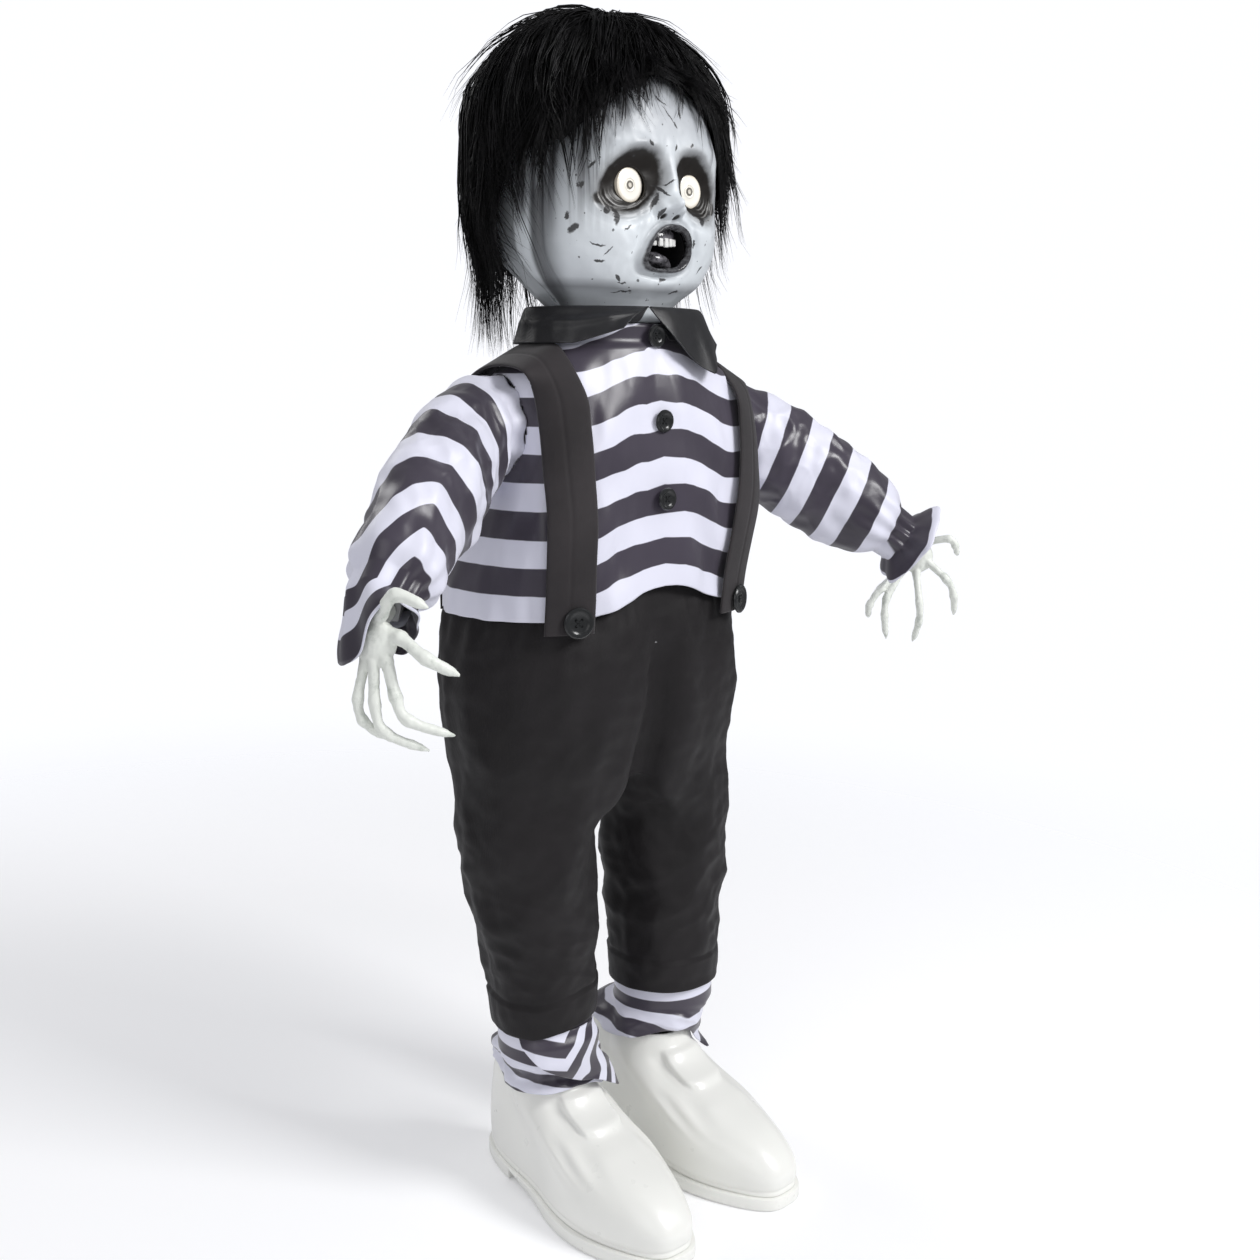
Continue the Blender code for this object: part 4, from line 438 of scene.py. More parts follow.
@contextmanager
def editing(obj):
    """Opens a piece's mesh for bmesh operators and writes it back afterwards."""
    bm = bmesh.new()
    bm.from_mesh(obj.data)
    yield bm
    bm.to_mesh(obj.data)
    bm.free()


def wrapped(name, around, along, place, closed=True, flip=False):
    """A grid sent through place(u, v) -> (point, cloth vector)."""
    bm = bmesh.new()
    bmesh.ops.create_grid(bm, x_segments=around, y_segments=along, size=0.5)
    layer = bm.verts.layers.float_vector.new("cloth")
    for v in bm.verts:
        v.co, v[layer] = place(v.co.x + 0.5, v.co.y + 0.5)
    if closed:
        bmesh.ops.remove_doubles(bm, verts=bm.verts, dist=1e-6)
    if flip:
        bmesh.ops.reverse_faces(bm, faces=bm.faces)
    return from_bmesh(name, bm)


def prism(outline, shift):
    """A closed block: the outline's points are filled and pushed along a vector."""
    bm = bmesh.new()
    made = bmesh.ops.create_circle(bm, segments=len(outline), radius=1.0, cap_ends=True)["verts"]
    for v, p in zip(made, outline):
        v.co = p
    grown = bmesh.ops.extrude_face_region(bm, geom=bm.faces[:], use_keep_orig=True)
    moved = [v for v in grown["geom"] if isinstance(v, bmesh.types.BMVert)]
    bmesh.ops.translate(bm, vec=shift, verts=moved)
    bmesh.ops.recalc_face_normals(bm, faces=bm.faces)
    return bm


def thick(obj, thickness, offset=-1.0):
    wall = obj.modifiers.new("wall", "SOLIDIFY")
    wall.thickness = thickness
    wall.offset = offset
    return obj


def freeze(obj):
    """The mesh as its modifiers leave it, so that later steps see the real surface."""
    bpy.context.view_layer.update()
    ready = obj.evaluated_get(bpy.context.evaluated_depsgraph_get())
    me = bpy.data.meshes.new_from_object(ready)
    obj.modifiers.clear()
    obj.data = me
    me.shade_smooth()
    return obj


def dress(obj, material, body, slot, *replaced):
    """Gives a piece its finish and its body and hides the nodes it stands for. The slot is not used."""
    obj.data.materials.clear()
    obj.data.materials.append(material)
    if body:
        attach(obj, body)
    if replaced:
        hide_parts(*replaced)
    return obj


def area_of(obj):
    return sum(p.area for p in obj.data.polygons)


def sew(obj, finish, body, slot, node, wall=0.0010, offset=-1.0,
        with_pieces=()):
    """Finishes a cloth: gives it a wall, its finish and its body, and hides the node it stands for. the
    pattern fills a share of a rectangle of the given length.
    """
    area = area_of(obj) + sum(area_of(piece) for piece in with_pieces)
    for cloth in (obj, *with_pieces):
        thick(cloth, wall, offset)
        dress(cloth, finish, body, slot, node)
    area = round(area, 4)


print("cloth helpers ready")

# %% [markdown]
# ## The torso's form
# Every garment on the chest reads one outline: a rounded box that narrows from the hem to the neck. The
# tables hold its half width, half depth, middle and squareness at each height, in the figure's own frame.

# %% Outline of the torso
TORSO_Z = (0.468, 0.500, 0.530, 0.555, 0.575, 0.600, 0.625, 0.642, 0.655, 0.665, 0.671)
TORSO_HALF_X = (0.1300, 0.1255, 0.119, 0.113, 0.107, 0.1035, 0.1030, 0.1010, 0.0945, 0.0825, 0.0725)
TORSO_HALF_Y = (0.0825, 0.080, 0.077, 0.075, 0.0735, 0.071, 0.067, 0.062, 0.057, 0.053, 0.050)
TORSO_Y = (0.003, 0.001, -0.002, -0.004, -0.005, -0.006, -0.008, -0.011, -0.014, -0.016, -0.018)
TORSO_POWER = (2.6, 3.0, 3.5, 3.7, 3.7, 3.5, 3.2, 2.8, 2.5, 2.3, 2.2)
BAND_HALF = (0.0659, 0.0464)
BAND_Y = -0.0175
BAND_TOP_Z = 0.6892
HEM_Z = 0.4780
BOX_OPENING = (0.054, 0.488, 0.566)                 # half width, bottom and top of the access at the back
ARMHOLE_X, ARMHOLE_Z, ARMHOLE_R = 0.085, 0.615, 0.0385
PLACKET_X = -0.0105                                 # the buttoned edge of the front
BODY_SHARE = 0.955                                  # the share of the grid below the neck band
OPEN = 9.0                                          # a side of a box that lies far out of the figure


def at_torso(z, angle, out=0.0):
    """A point of the chest at a height and an angle; -90 degrees is the front."""
    x, y = superellipse(curve(z, TORSO_Z, TORSO_HALF_X) + out, curve(z, TORSO_Z, TORSO_HALF_Y) + out,
                        curve(z, TORSO_Z, TORSO_POWER), angle)
    full = smooth(z, 0.490, 0.590) * (1 - smooth(z, 0.650, 0.671))
    if x > 0:                                           # the shirt sits fuller on the figure's left
        x *= 1 + 0.165 * full
        y *= 1 + 0.06 * full * (y < 0)
    return Vector((x, curve(z, TORSO_Z, TORSO_Y) + SHIFT_Y + y, z))


def at_band(z, angle, out=0.0):
    x, y = superellipse(BAND_HALF[0] + out, BAND_HALF[1] + out, 2.1, angle)
    return Vector((x, BAND_Y + SHIFT_Y + y, z))


def front_rise(p):
    """The printed bands climb in the middle of the front, where the buttoned edge pulls the cloth up."""
    front = smooth(-(p.y - SHIFT_Y), 0.02, 0.06)
    top = math.exp(-abs((p.x - 0.002) / 0.048) ** 3)
    sway = 0.0030 * rumple((p.x, 0.0, 0.4 * p.z), 0.030, 12.0) + 0.0014 * rumple((p.x, 0.0, p.z), 0.014, 5.0)
    side = 0.003 * smooth(p.x, 0.03, 0.08)
    return front * (0.0150 * top - side + sway * (1 - 0.8 * smooth(abs(p.x), 0.06, 0.09)))


def shirt_relief(p):
    """Soft hanging folds: long ones down the front, pulls towards the shoulders, calm under the braces."""
    front = SHIFT_Y - p.y
    along = (p.x * 0.9, p.y * 0.9, p.z * 0.30)
    folds = 0.0036 * rumple(along, 0.030, 3.1) + 0.0020 * rumple((p.x, p.y, p.z * 0.45), 0.015, 8.7)
    creases = crumple((p.x, p.y * 0.5, p.z * 0.30), 0.034, 21.0) - 0.4
    folds += 0.0022 * creases * smooth(front, 0.0, 0.05)
    pull = 0.0020 * math.sin(95 * (p.z + 0.9 * abs(p.x)) + 2.0) * hill(abs(p.x), 0.050, 0.020)
    strap = hill(abs(p.x), 0.085, 0.017) * smooth(abs(front), 0.03, 0.06)
    placket = 0.0012 * smooth(p.x, PLACKET_X, PLACKET_X + 0.0035) * hill(p.x, 0.010, 0.022)
    placket *= smooth(front, 0.03, 0.05)
    low = 0.55 + 0.45 * smooth(p.z, 0.66, 0.56)
    return (folds + pull) * low * (1 - 0.75 * strap) + placket - 0.0012


def shirt_place(u, v):
    angle = math.pi / 2 + 2 * math.pi * u
    if v < BODY_SHARE:
        middle = hill(at_torso(HEM_Z, angle).x, 0.002, 0.045)
        hem = HEM_Z + 0.019 * middle * max(0.0, -math.sin(angle)) ** 0.5
        z = hem + (TORSO_Z[-1] - hem) * v / BODY_SHARE
        base = at_torso(z, angle)
    else:
        t = (v - BODY_SHARE) / (1 - BODY_SHARE)
        z = TORSO_Z[-1] + (BAND_TOP_Z - TORSO_Z[-1]) * t
        base = at_torso(TORSO_Z[-1], angle).lerp(at_band(z, angle), smooth(t, 0.0, 0.35))
        base.z = z
    out = Vector((math.cos(angle), math.sin(angle), 0.0))
    point = base + out * (shirt_relief(base) * smooth(TORSO_Z[-1] + 0.004 - z, 0.0, 0.02) - 0.0002)
    length = z + 0.007 * smooth(z, 0.642, 0.671) * abs(math.cos(angle)) - front_rise(base)
    length -= 0.0016 * smooth(base.x, PLACKET_X, PLACKET_X + 0.0020) * (base.x < 0.0) * (base.y < SHIFT_Y)
    return point, (u, length, 0.0)


def in_box(face, low, high, margin=0.0):
    middle = face.calc_center_median()
    return all(low[k] - margin < middle[k] < high[k] + margin for k in range(3))


def cut_box(bm, low, high):
    """Cuts faces along a box's sides and takes out what lies inside it. A side at OPEN needs no cut."""
    for axis in range(3):
        normal = Vector((axis == 0, axis == 1, axis == 2))
        for level in (low[axis], high[axis]):
            if level == OPEN:
                continue
            near = [f for f in bm.faces if in_box(f, low, high, 0.01)]
            geom = near + list({e for f in near for e in f.edges}) + list({v for f in near for v in f.verts})
            bmesh.ops.bisect_plane(bm, geom=geom, plane_co=normal * level, plane_no=normal)
    bmesh.ops.delete(bm, geom=[f for f in bm.faces if in_box(f, low, high)], context="FACES")


def make_shirt():
    shirt = wrapped("shirt", 250, 160, shirt_place)
    half, low, high = BOX_OPENING
    with editing(shirt) as bm:
        cut_box(bm, (-half, SHIFT_Y + 0.03, low), (half, OPEN, high))
        armhole = []
        for face in bm.faces:
            x, y, z = face.calc_center_median()
            if abs(x) > ARMHOLE_X and math.hypot(y - SHIFT_Y, z - ARMHOLE_Z) < ARMHOLE_R:
                armhole.append(face)
        bmesh.ops.delete(bm, geom=armhole, context="FACES")
    sew(shirt, SHIRT_SATIN, "torso", "striped_satin", "shirt_body",
        0.0011)


make_shirt()

# %% [markdown]
# ## Braces and collar
# A brace is a flat band that follows the chest, runs over the shoulder and goes down the back. Rows of
# points across the band are read as smooth curves along it. The collar has a stand round the neck and a
# leaf that folds down over it. Its near wing lies flat and its far wing kinks forward.

# %% Smooth skin over rows of points
def catmull(points, t):
    """A place on the smooth curve through the points; t counts the points."""
    k = max(0, min(int(t), len(points) - 2))
    u = t - k
    p0, p1, p2, p3 = points[max(k - 1, 0)], points[k], points[k + 1], points[min(k + 2, len(points) - 1)]
    bend = (2 * p0 - 5 * p1 + 4 * p2 - p3) * u * u + (3 * p1 - p0 - 3 * p2 + p3) * u ** 3
    return 0.5 * (2 * p1 + (p2 - p0) * u + bend)


def over_rows(rows, u, v):
    """The surface through rows of points: v runs over the rows and u along one of them."""
    line = [catmull(row, u * (len(row) - 1)) for row in rows]
    return catmull(line, v * (len(line) - 1))


BRACE_WIDTH = 0.037
BRACE_LIFT = 0.0044
BRACE_ZS = (0.469, 0.495, 0.525, 0.555, 0.585, 0.615, 0.640)
BRACE_XS = {-1: (0.087, 0.087, 0.087, 0.086, 0.086, 0.086, 0.086),
            1: (0.077, 0.080, 0.085, 0.090, 0.094, 0.096, 0.095)}
BRACE_BACK_ZS = (0.640, 0.600, 0.555, 0.510, 0.472)
BRACE_TOP_YS = (-0.046, -0.026, 0.0, 0.024, 0.042)
ACROSS = (1.0, 0.5, 0.0, -0.5, -1.0)
QUARTER = 400                                       # steps on a quarter of the chest's outline


def band_across(z, x_mid, way, side):
    """Five places across a band at one height of the chest, walked along the outline from its middle."""
    ring = []
    for i in range(QUARTER + 1):
        angle = way * math.pi / 2 * i / QUARTER
        p = at_torso(z, angle if side > 0 else math.pi - angle, BRACE_LIFT)
        ring.append(Vector((side * p.x, p.y, p.z)))
    mid = min(range(QUARTER + 1), key=lambda i: abs(ring[i].x - x_mid))
    places = []
    for share in ACROSS:
        i, walked, step = mid, 0.0, 1 if share > 0 else -1
        while walked < abs(share) * BRACE_WIDTH / 2 and 0 < i < QUARTER:
            walked += (ring[i + step] - ring[i]).length
            i += step
        places.append(ring[i])
    return places


def torso_top_z(x, y):
    low, high = 0.560, TORSO_Z[-1]
    for _ in range(24):
        z = (low + high) / 2
        power = curve(z, TORSO_Z, TORSO_POWER)
        reach = (abs(x) / curve(z, TORSO_Z, TORSO_HALF_X)) ** power
        reach += (abs(y - curve(z, TORSO_Z, TORSO_Y)) / curve(z, TORSO_Z, TORSO_HALF_Y)) ** power
        low, high = (z, high) if reach < 1 else (low, z)
    return low


def brace_rows(side):
    rows = [band_across(z, x, -1, side) for z, x in zip(BRACE_ZS, BRACE_XS[side])]
    for y in BRACE_TOP_YS:
        row = []
        for share in ACROSS:
            x = BRACE_XS[side][-1] + 0.002 - share * BRACE_WIDTH * 0.46
            over_arm = ARMHOLE_Z + math.sqrt(0.0365 ** 2 - min(abs(y), 0.036) ** 2) + 0.0055
            z = max(torso_top_z(x, y) + BRACE_LIFT, over_arm)
            if row:
                z = max(z, row[-1].z - 0.004)
            row.append(Vector((x, y + SHIFT_Y, z)))
        rows.append(row)
    for k, z in enumerate(BRACE_BACK_ZS):
        rows.append(band_across(z, BRACE_XS[side][-1] - 0.002 * k / 4, 1, side))
    return rows


def make_brace(side, word):
    rows = brace_rows(side)
    length = sum((b[2] - a[2]).length for a, b in zip(rows, rows[1:]))

    def place(u, v):
        p = over_rows(rows, u, v)
        ahead = over_rows(rows, u, min(1.0, v + 0.004)) - over_rows(rows, u, max(0.0, v - 0.004))
        cross = over_rows(rows, min(1.0, u + 0.02), v) - over_rows(rows, max(0.0, u - 0.02), v)
        out = cross.cross(ahead).normalized()
        out = out if out.dot(Vector((0.2 * p.x, p.y - SHIFT_Y, max(0.0, p.z - 0.60) * 3))) > 0 else -out
        across = (u - 0.5) * BRACE_WIDTH
        groove = -0.0006 * hill(across, 0.001, 0.0011) - 0.0008 * smooth(abs(across), 0.0165, 0.0185)
        wave = 0.0010 * rumple((p.x * 0.5, p.y, p.z), 0.035, 4.0 + side)
        p = p + out * (groove + wave)
        return Vector((side * p.x, p.y, p.z)), (across, v * length, 0.0)

    brace = wrapped(f"brace_band_{word}", 28, 190, place, closed=False, flip=side < 0)
    sew(brace, BRACE_CLOTH, "torso", "black_twill", f"brace_{word}",
        0.0018, 0.0)


for side, word in SIDES:
    make_brace(side, word)


# %% Collar
COLLAR_TIPS = {-1: (26.0, 0.004, -0.012), 1: (29.0, 0.007, 0.025)}     # azimuth in degrees, reach out, drop
FOLD = 0.42                                         # the share of the cloth that climbs the stand
LEAF_LENGTH = 0.0260


def make_collar(side, word):
    tip_deg, tip_out, tip_drop = COLLAR_TIPS[side]
    far = side > 0
    inner, wide = (-5.0, 0.0165) if far else (5.0, 0.0105)

    def place(u, v):
        """v climbs the stand to the fold and comes down the leaf to its edge."""
        stand = smooth(v, 0.0, FOLD)
        leaf = max(0.0, (v - FOLD) / (1 - FOLD))
        start = 13.0 + (inner - 13.0) * v / FOLD if v < FOLD else inner + (tip_deg - inner) * leaf
        degrees = start + (178.5 - start) * u ** 1.25
        azimuth = math.radians(degrees)
        near_tip = max(0.0, 1 - degrees / (tip_deg + 30)) ** 1.2 * (tip_deg + 30) / 30 * leaf
        out = 0.0028 + 0.0012 * math.sin(math.pi * min(1.0, v / FOLD / 1.5)) + wide * leaf ** 0.8
        out += 0.0014 * rumple((azimuth * 0.07, leaf * 0.02, 0.3 * side), 0.012, 2.0) * leaf
        out += tip_out * near_tip
        if far:
            out += 0.0050 * smooth(degrees, 25, 70) * smooth(v, 0.15, FOLD)
            out += 0.0024 * math.sin(9 * azimuth + 3 * leaf) * leaf
        else:
            out += 0.0022 * hill(leaf, 0.45, 0.12) * hill(degrees, 60, 45)
        foot = 0.6775 + (0.0 if far else 0.0130 * (1 - smooth(degrees, 25, 75)))
        z = foot + (0.7010 - foot) * stand - LEAF_LENGTH * leaf ** 1.1 - tip_drop * near_tip
        return at_band(z, -math.pi / 2 + side * azimuth, out), (azimuth * 0.07, v * 0.05, 0.0)

    collar = wrapped(f"collar_leaf_{word}", 120, 56, place, closed=False, flip=side < 0)
    sew(collar, COLLAR_SATIN, "torso", "black_satin", f"collar_{word}",
        offset=0.0)


for side, word in SIDES:
    make_collar(side, word)

# %% [markdown]
# ## Sleeves
# Each sleeve is a full tube along a curved arm. Rings that stay square to the arm carry the folds, and the
# bands count the cloth's length. It is gathered at the wrist and ends in a frill.

# %% Sleeves with gathered frills
WRIST = Vector((0.262, -0.098, 0.512))
SLEEVE_ROUTE = (Vector((0.109, -0.001, 0.615)), Vector((0.134, -0.010, 0.609)),
                Vector((0.190, -0.052, 0.572)), WRIST)
SLEEVE_STOPS = (0.0, 0.10, 0.24, 0.40, 0.56, 0.70, 0.82, 0.90, 0.945)
SLEEVE_RADII = (0.0360, 0.0390, 0.0406, 0.0420, 0.0424, 0.0408, 0.0376, 0.0318, 0.0212)
SLEEVE_END = 0.945
FRILL_FROM = 0.88


def on_sleeve(t):
    p0, p1, p2, p3 = SLEEVE_ROUTE
    return p0 * (1 - t) ** 3 + p1 * 3 * t * (1 - t) ** 2 + p2 * 3 * t * t * (1 - t) + p3 * t ** 3


def sleeve_ahead(t):
    return (on_sleeve(min(1.0, t + 0.01)) - on_sleeve(max(0.0, t - 0.01))).normalized()


WRIST_AHEAD = sleeve_ahead(1.0)
ARC = [0.0]
for step in range(100):
    gone = on_sleeve((step + 1) / 100 * SLEEVE_END) - on_sleeve(step / 100 * SLEEVE_END)
    ARC.append(ARC[-1] + gone.length)


def arc_share(t):
    """The share of the arm's own length that lies above t."""
    x = min(99.999, max(0.0, t) / SLEEVE_END * 100)
    return (ARC[int(x)] + (ARC[int(x) + 1] - ARC[int(x)]) * (x - int(x))) / ARC[-1]


def make_sleeve(side, word):
    near = side < 0
    seed = 5.0 * side
    end = WRIST - WRIST_AHEAD * 0.008
    # The near frill flops over the back of the hand, and the far one stands open below the wrist
    hang = Vector((-0.03, -0.35, -1.0) if near else (0.55, 0.25, -1.0)).normalized()
    pick = Vector((0.57, 0.27, 0.45)).normalized() if near else hang
    flare, sag, drop = (0.0085, 0.0, 0.045) if near else (0.0175, -0.004, -0.004)

    def place(u, v):
        a = 2 * math.pi * u
        c, s = math.cos(a), math.sin(a)
        t = min(1.0, v / FRILL_FROM) * SLEEVE_END
        frill = max(0.0, (v - FRILL_FROM) / (1 - FRILL_FROM))
        ahead = Vector((1, 0, 0)).lerp(sleeve_ahead(t), min(1.0, (t / 0.40) ** 1.4)).normalized()
        level = ahead.cross(Vector((0, 0, 1))).normalized()
        high = level.cross(ahead).normalized()
        around = level * c + high * s
        flat = 1 - 0.26 * smooth(t, 0.10, 0.35) * (1 - smooth(t, 0.80, 0.93))
        oval = level * c * flat + high * s
        r = curve(t, SLEEVE_STOPS, SLEEVE_RADII) + 0.0012 * hill(t, 0.0, 0.02)
        centre = on_sleeve(t) - Vector((0.0105, 0, 0)) * (1 - smooth(v, 0.0, 0.035))
        gather = smooth(t, 0.74, 0.93)
        low = max(0.0, around.dot(pick))
        if frill > 0:
            r = SLEEVE_RADII[-1] + (flare + sag * low) * smooth(frill, 0.0, 1.0)
            centre = end + WRIST_AHEAD * (0.003 + 0.014 * frill) + hang * (drop * low ** 1.5 * frill ** 1.3)
            r += (0.0020 * math.sin(5 * a + 1.0) + 0.0008 * math.sin(9 * a)) * frill
        where = centre + oval * r
        puff = 0.0042 * rumple(where, 0.040, seed)
        puff += 0.0020 * rumple((where.x * 1.6, where.y, where.z), 0.017, seed + 2)
        crease = 0.0036 * (crumple((c * 0.02, t * 0.10, s * 0.02), 0.020, seed) - 0.45) * hill(t, 0.55, 0.32)
        pleat = 0.0012 * math.sin(9 * a + 2.2 * math.sin(2 * a)) * gather * (1 - 0.75 * frill)
        root = 0.0015 * math.sin(11 * a) * (1 - smooth(t, 0.0, 0.12))
        calm = smooth(t, 0.0, 0.10) * (1 - 0.6 * gather)
        p = where + around * ((puff + crease) * calm + pleat + root)
        if near:
            length = 0.0095 + 0.165 * arc_share(t) + (0.0155 - 0.050 * low) * smooth(t, 0.50, SLEEVE_END)
            length += (0.016 + 0.050 * low) * frill
        else:
            length = 0.188 * arc_share(t) + 0.021 * (1 + low) * frill
        twist = 0.006 * math.sin(a + 0.6) * smooth(t, 0.1, 0.5)
        return placed(p, side), (u * 0.26, 0.4575 + 0.0110 + length + twist, 0.0)

    sleeve = wrapped(f"sleeve_cloth_{word}", 200, 170, place, flip=side > 0)
    sew(sleeve, SHIRT_SATIN, None, "striped_satin", f"sleeve_{word}")
    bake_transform(sleeve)


for side, word in SIDES:
    make_sleeve(side, word)

# %% [markdown]
# ## Trousers
# One half is a tube: round down the leg, and above the crotch a half outline whose inner part lies on the
# middle plane. Those inner faces go and the other half is mirrored on, so both legs share one seat.
# Wrinkles then move each point along its normal, different on each leg because they read the place.

# %% Trousers with drape and hem stitch
LEG_BOTTOM = 0.146
LEG_Z = (0.146, 0.182, 0.218, 0.257, 0.300)
LEG_X = (0.068, 0.0690, 0.0705, 0.0725, 0.0740)
LEG_Y = (-0.006, -0.004, -0.002, 0.000, 0.001)
LEG_R = (0.0455, 0.0480, 0.0505, 0.0530, 0.0545)
HIP_Z = (0.335, 0.375, 0.420, 0.455, 0.490, 0.503)
HIP_X = (0.1265, 0.1285, 0.1295, 0.1268, 0.1212, 0.1205)
HIP_Y = (0.062, 0.074, 0.080, 0.0785, 0.0742, 0.0742)
HIP_MID = (0.002, 0.004, 0.005, 0.004, 0.003, 0.003)
HIP_SHARE = (0.70, 0.92, 1.0, 1.0, 1.0, 1.0)
RING = 72
HIP_STEPS = 25                                      # ring points from the side to the middle plane


def trouser_ring(z):
    ring = []
    for i in range(RING):
        k = i if i <= RING // 2 else i - RING
        if z <= LEG_Z[-1]:
            a, r = 2 * math.pi * i / RING, curve(z, LEG_Z, LEG_R)
            p = (curve(z, LEG_Z, LEG_X) + r * math.cos(a), curve(z, LEG_Z, LEG_Y) + r * math.sin(a))
        elif abs(k) < HIP_STEPS:
            p = superellipse(curve(z, HIP_Z, HIP_X), curve(z, HIP_Z, HIP_Y), 2.6, math.pi / 2 * k / HIP_STEPS)
            p = (p[0], p[1] + curve(z, HIP_Z, HIP_MID))
        else:
            share = (RING // 2 - abs(k)) / (RING // 2 - HIP_STEPS)
            y = math.copysign(curve(z, HIP_Z, HIP_Y) * curve(z, HIP_Z, HIP_SHARE) * share, k)
            p = (0.0, y + curve(z, HIP_Z, HIP_MID))
        ring.append(Vector((p[0], p[1] + SHIFT_Y, z)))
    return ring


# Where the figure's right leg stands, the level direction in which it hangs narrower, and its reach
RIGHT_LEG = Vector((-0.069, -0.005, 0.0))
SLIM_WAY = Vector((-0.743, 0.669, 0.0))
LEG_REACH = 0.046


def from_right_leg(p):
    return Vector((p.x, p.y - SHIFT_Y, 0.0)) - RIGHT_LEG


def leg_slim(x, y):
    """How much narrower the figure's right leg hangs, by the direction out of the leg."""
    far = math.hypot(x, y) or 1.0
    return 0.0090 * max(0.0, (SLIM_WAY.x * x + SLIM_WAY.y * y) / far)


def trouser_wrinkles(p):
    front = smooth(-(p.y - SHIFT_Y), -0.01, 0.05)
    side = 1.0 if p.x > 0 else -1.0
    inner = hill(p.x - 0.004, 0.0, 0.016)
    valley = -0.016 * inner * front * smooth(p.z, 0.30, 0.36) * (1 - smooth(p.z, 0.425, 0.475))
    long = 0.0034 * rumple((p.x, p.y, p.z * 0.28), 0.030, 11.0)
    pull = 0.0042 * (crumple((p.x + 0.35 * side * (p.z - 0.34), p.y, 0.45 * p.z), 0.060, 2.0) - 0.4)
    knee = crumple((p.x * 0.5, p.y * 0.5, p.z - 0.3 * p.x * side), 0.036, 6.0) - 0.4
    knee *= 0.0034 * hill(p.z, 0.235, 0.075)
    fine = 0.0010 * rumple(p, 0.011, 4.0)
    gathers = math.sin(math.atan2(p.y - SHIFT_Y, p.x) * 34 + 3 * rumple(p, 0.05, 2.0))
    fine += 0.0016 * gathers * hill(p.z, 0.487, 0.030)
    seam = -0.0012 * hill(p.z, LEG_BOTTOM + 0.0275, 0.0013) * (p.z < 0.2)
    seam += 0.0010 * smooth(LEG_BOTTOM + 0.027 - p.z, 0.0, 0.002)
    if p.x < 0:
        at = from_right_leg(p)
        valley -= leg_slim(at.x, at.y) * (1 - smooth(p.z, 0.20, 0.34))
    hem = smooth(p.z, LEG_BOTTOM, LEG_BOTTOM + 0.04)
    flat = 1 - 0.6 * smooth(p.z, 0.468, 0.492)
    return (long + pull + knee) * (0.25 + 0.75 * hem) * flat + fine * flat + seam + valley


def move_along_normals(obj, amount):
    me = obj.data
    shifts = [v.normal * amount(v.co) for v in me.vertices]
    for v, shift in zip(me.vertices, shifts):
        v.co += shift


def make_trousers():
    rows = [trouser_ring(z) for z in LEG_Z + HIP_Z]

    def place(u, v):
        i = round(u * RING) % RING
        t = v * (len(rows) - 1)
        p = catmull([row[i] for row in rows], t)
        p.x = max(p.x, 0.0)
        if t >= len(LEG_Z) - 0.02 and HIP_STEPS <= min(i, RING - i):
            p.x = 0.0
        return p, (u * 0.34, p.z, 0.0)

    trousers = wrapped("trousers_cloth", RING, 92, place)
    with editing(trousers) as bm:
        inner = [f for f in bm.faces if all(v.co.x < 1e-6 for v in f.verts)]
        bmesh.ops.delete(bm, geom=inner, context="FACES")
        bmesh.ops.mirror(bm, geom=whole(bm), axis="X", merge_dist=1e-5)
        bmesh.ops.remove_doubles(bm, verts=bm.verts, dist=1e-5)
        bmesh.ops.recalc_face_normals(bm, faces=bm.faces)
        crotch = [v for v in bm.verts if 0.29 < v.co.z < 0.36]
        bmesh.ops.smooth_vert(bm, verts=crotch, factor=0.5, use_axis_x=True, use_axis_y=True, use_axis_z=True)
    rounder = trousers.modifiers.new("rounder", "SUBSURF")
    rounder.levels = 1
    rounder.render_levels = 1
    freeze(trousers)
    half, low, _ = BOX_OPENING
    with editing(trousers) as bm:
        cut_box(bm, (-half, SHIFT_Y + 0.03, low - 0.014), (half, OPEN, OPEN))
    move_along_normals(trousers, trouser_wrinkles)
    for v in trousers.data.vertices:
        if v.co.x < 0:
            toward = max(0.0, -from_right_leg(v.co).dot(SLIM_WAY) / LEG_REACH)
            v.co.z += (0.003 + 0.008 * toward) * (1 - smooth(v.co.z, LEG_BOTTOM + 0.01, LEG_BOTTOM + 0.09))
    sew(trousers, TWILL_CLOTH, "torso", "black_twill", "trousers", 0.0012)


make_trousers()

# %% [markdown]
# ## Shoes and ankle cuffs
# A foot-shaped outline, drawn at several heights, gives the moulded upper. A soft tongue, creases over the
# instep and a seam above the sole are relief on the same surface. The cuff is a crumpled striped tube that
# hangs from the trouser leg over the shoe, with one corner folded forward.

# %% Shoes
SHOE_Z = (0.0103, 0.030, 0.050, 0.066, 0.082, 0.106)
SHOE_TOE = (-0.160, -0.159, -0.135, -0.092, -0.052, -0.038)
SHOE_HEEL = (0.071, 0.072, 0.071, 0.068, 0.065, 0.055)
SHOE_WIDE = (0.040, 0.041, 0.039, 0.036, 0.033, 0.030)
SOLE_SIZE = (-0.163, 0.074, 0.044)                  # toe, heel and half width
SOLE_POINTS = 160
SOLE_HEIGHT = 0.010
STANCE = 0.108
FOOT_TURN = math.radians(2.0)


def shoe_outline(a, toe, heel, half_width):
    along, side = (1 - math.cos(a)) / 2, math.sin(a)
    shape = 0.80 + 0.30 * hill(along, 0.30, 0.26) - 0.06 * hill(along, 0.62, 0.14)
    power = 0.62 + 0.18 * smooth(along, 0.25, 0.60)
    return half_width * shape * math.copysign(abs(side) ** power, side), toe + (heel - toe) * along


def on_foot(p, side):
    turn = -FOOT_TURN * side
    c, s = math.cos(turn), math.sin(turn)
    return Vector((side * STANCE / 2 + p[0] * c + p[1] * s, -p[0] * s + p[1] * c + SHIFT_Y, p[2]))


